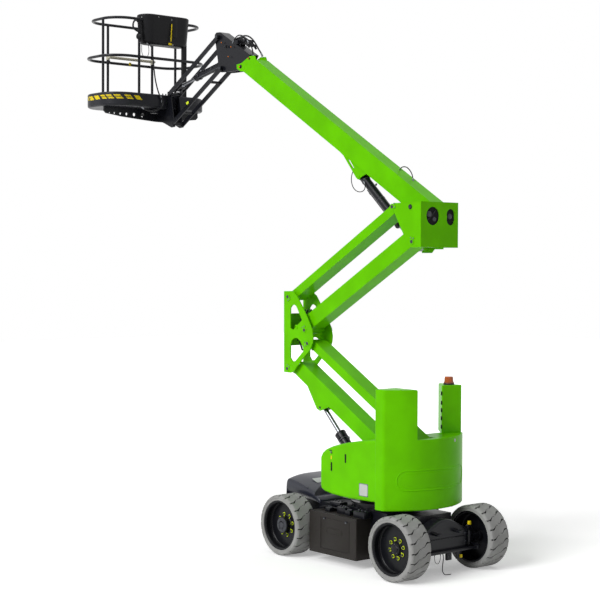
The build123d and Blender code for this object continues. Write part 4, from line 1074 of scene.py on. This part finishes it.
def makeCage():
    makeStripes()
    handle = [(4420, 345, 6560), (4402, 401, 6626), (4400, 455, 6618), (4400, 480, 6540), (4405, 440, 6490),
              (4420, 350, 6470)]
    strap = [(-6, -110), (10, -110), (22, 130), (8, 130)]
    stud = [(0, 4), (5, 4), (7, 2), (7, -6), (0, -6)]
    knob = [(0, 26), (30, 24), (44, 14), (48, 0), (44, -6), (0, -6)]
    parts = [
        runPiece(handle, 12, blackPaint, 10),
        lathePiece(knob, at(4440, 345, 6420), (-0.3, 1, 0), consolePlastic, 32),
        boxBetween((4352, -225, 6600), (4440, -135, 6727), consolePlastic, 14),
        plate(strap, 4, at(4331, -96, 6490), (0, -1, 0), (0, 0, 1), brightTag),
        boxBetween((4330, -112, 6330), (4342, -64, 6360), brightTag, 3),
        boxBetween((4334, -205, 6440), (4344, -125, 6700), consolePlastic, 5),
    ]
    for y, z in ((373, 6662), (98, 6691), (-115, 6674), (-133, 6338)):
        parts.append(lathePiece(stud, at(4340, y, z), (-1, 0, 0), palePlate, 16))
    gather("consoleTrim", parts, "cage")
    feet, socket = [], [(19, 0), (34, 0), (34, 5), (30, 8), (22, 9), (19, 14)]
    for x, y in ((340, 390), (340, -345), (-340, 345), (-87, 735)):  # the rail posts, from the tray's middle
        x += cage["middleX"]
        feet.append(lathePiece(socket, at(x, y, cage["floor"]), (0, 0, 1), blackPaint, 32, closed=True))
        for k in range(4):
            turn = math.pi * (0.25 + 0.5 * k)
            spot = at(x + 27 * math.cos(turn), y + 27 * math.sin(turn), cage["floor"] + 6)
            feet += hexBolt(spot, (0, 0, 1), 0.35, steel)
    for j in range(9):  # raised bars of the floor
        for k in range(17):
            spot = at(4520 + 68 * j, -640 + 80 * k, cage["floor"] + 1)
            turn = math.radians(45 if (j + k) % 2 else -45)
            feet.append(slabPiece((44, 9, 4), spot, steelGrey, 1.4, (0, 0, turn), 1))
    gather("cageFloorTrim", feet, "cage")
    clamp = [(18.5, -20), (25, -20), (26.5, -18), (26.5, 18), (25, 20), (18.5, 20)]
    clamps = [lathePiece(clamp, at(5135, y, 6140), (0, 0, 1), blackPaint, 32, closed=True) for y in (390, -345)]
    clamps.append(boxBetween((5108, 30, 6120), (5130, 58, 6160), brightTag, 3))
    gather("gateTrim", clamps, "cage")
    under = [boxBetween((4400, 60, 5396), (4470, 150, 5462), blackPaint, 8),
             boxBetween((4380, -60, 5520), (4440, 30, 5600), blackPaint, 8),
             boxBetween((4390, -260, 5330), (4480, -210, 5430), blackPaint, 6)]
    for k in range(4):
        under += hexBolt(at(4355, 20 - 50 * k, 5660), (-1, 0, 0), 0.8, steelGrey)
    gather("underCage", under, "cage")
    print("cage made")


def makeJib():
    pipe = [(3236, -122, 5936), (3246, -99, 5929), (3480, -99, 5881), (3716, -99, 5832), (3727, -122, 5834)]
    gather("jibPipe", [runPiece(pipe, 8, steelGrey)], "jib_lift_barrel")
    tag = [(-26, -22), (26, -14), (26, 22), (-26, 14)]
    tags = [plate(tag, 3, at(3860, -36, 5508), (0.86, 0, -0.51), (0.51, 0, 0.86), nutGlow)]
    gather("jibTags", tags, "jib_lower_link")
    print("jib trim made")


headTrim = {"block": (2800, 2920, -220, -60, 6180, 6232)}
headRun = [(2860, 6262), (2780, 6256), (2690, 6206), (2640, 6162), (2600, 6118)]  # x and z of its hoses


def makeHeadTrim():
    x0, x1, y0, y1, z0, z1 = headTrim["block"]
    parts = [boxBetween((x0, y0, z0), (x1, y1, z1), blackPaint, 7)]
    fitting = [(0, 26), (7, 26), (9, 23), (9, 14), (12, 12), (12, 3), (10, 0), (0, 0)]
    for k in range(4):
        for side in (0, 1):
            spot = at(x0 + 18 + 28 * k, y0 + 36 + 84 * side, z1)
            parts.append(lathePiece(fitting, spot, (-0.3, 0, 1), steelGrey, 16))
    for k, (lift, y) in enumerate(((0, -95), (14, -150), (-10, -205))):
        run = [(2905, y, 6226)] + [(x, y, z + lift) for x, z in headRun]
        parts.append(runPiece(run, 12 + k, hoseRubber))
    for x, z in ((2622, 6148), (2690, 6212)):
        parts.append(boxBetween((x - 22, -225, z - 16), (x + 22, -75, z + 16), blackPaint, 8))
    gather("headValves", parts, "boom_head")


for build in (makeHood, makeCoverTrim, makeTail, makeChassisTrim, makeAxleCover, makeInsides, makeRearAxle,
              makePins, makeCylinders, makeCage, makeJib, makeHeadTrim):
    build()


studio = {"key": 2.3, "top": 0.7, "world": 0.16, "floor": 80.0, "glow": 0.34, "farGlow": 0.6}


def makeStudio():
    for name, strength, spread, direction in (
        ("key", studio["key"], 30, (-0.05, 0.85, 0.52)),
        ("top", studio["top"], 80, (0.1, 0.1, 1.0)),
    ):
        data = bpy.data.lights.new(name, "SUN")
        data.energy = strength
        data.angle = math.radians(spread)
        lamp = bpy.data.objects.new(name, data)
        lamp.rotation_euler = turnFor(direction)
        bpy.context.scene.collection.objects.link(lamp)
    world = bpy.data.worlds.new("studio")
    bpy.context.scene.world = world
    world.use_nodes = True
    tree = world.node_tree
    tree.nodes.clear()
    output = tree.nodes.new("ShaderNodeOutputWorld")
    backdrop = tree.nodes.new("ShaderNodeBackground")
    feed(tree, backdrop.inputs["Strength"], directRays(tree) * (1 - studio["world"]) + studio["world"])
    backdrop.inputs["Color"].default_value = (1, 1, 1, 1)
    tree.links.new(backdrop.outputs[0], output.inputs[0])
    clearSelection()
    bpy.ops.mesh.primitive_plane_add(size=studio["floor"], location=(0, 0, 0))
    ground = bpy.context.object
    ground.name = "studioFloor"
    f = Finish("studioFloor", Roughness=0.9, Specular_IOR_Level=0.1, Emission_Strength=1.0)
    f.show("Base Color", f.blend(f.noise(0.6, 2.0) * 0.1, (0.93, 0.93, 0.93, 1), (0.9, 0.9, 0.9, 1)))
    away = f.node("ShaderNodeVectorMath", {"operation": "LENGTH"}, {0: f.place}, 1)
    near, far = ((studio[key],) * 3 + (1,) for key in ("glow", "farGlow"))
    f.show("Emission Color", f.blend(directRays(f.tree), (0, 0, 0, 1), f.blend(f.ramp(away, 2.2, 9.0), near, far)))
    ground.data.materials.append(f.material)
    bpy.context.scene.view_settings.view_transform = "Standard"
    print("studio made")


makeStudio()
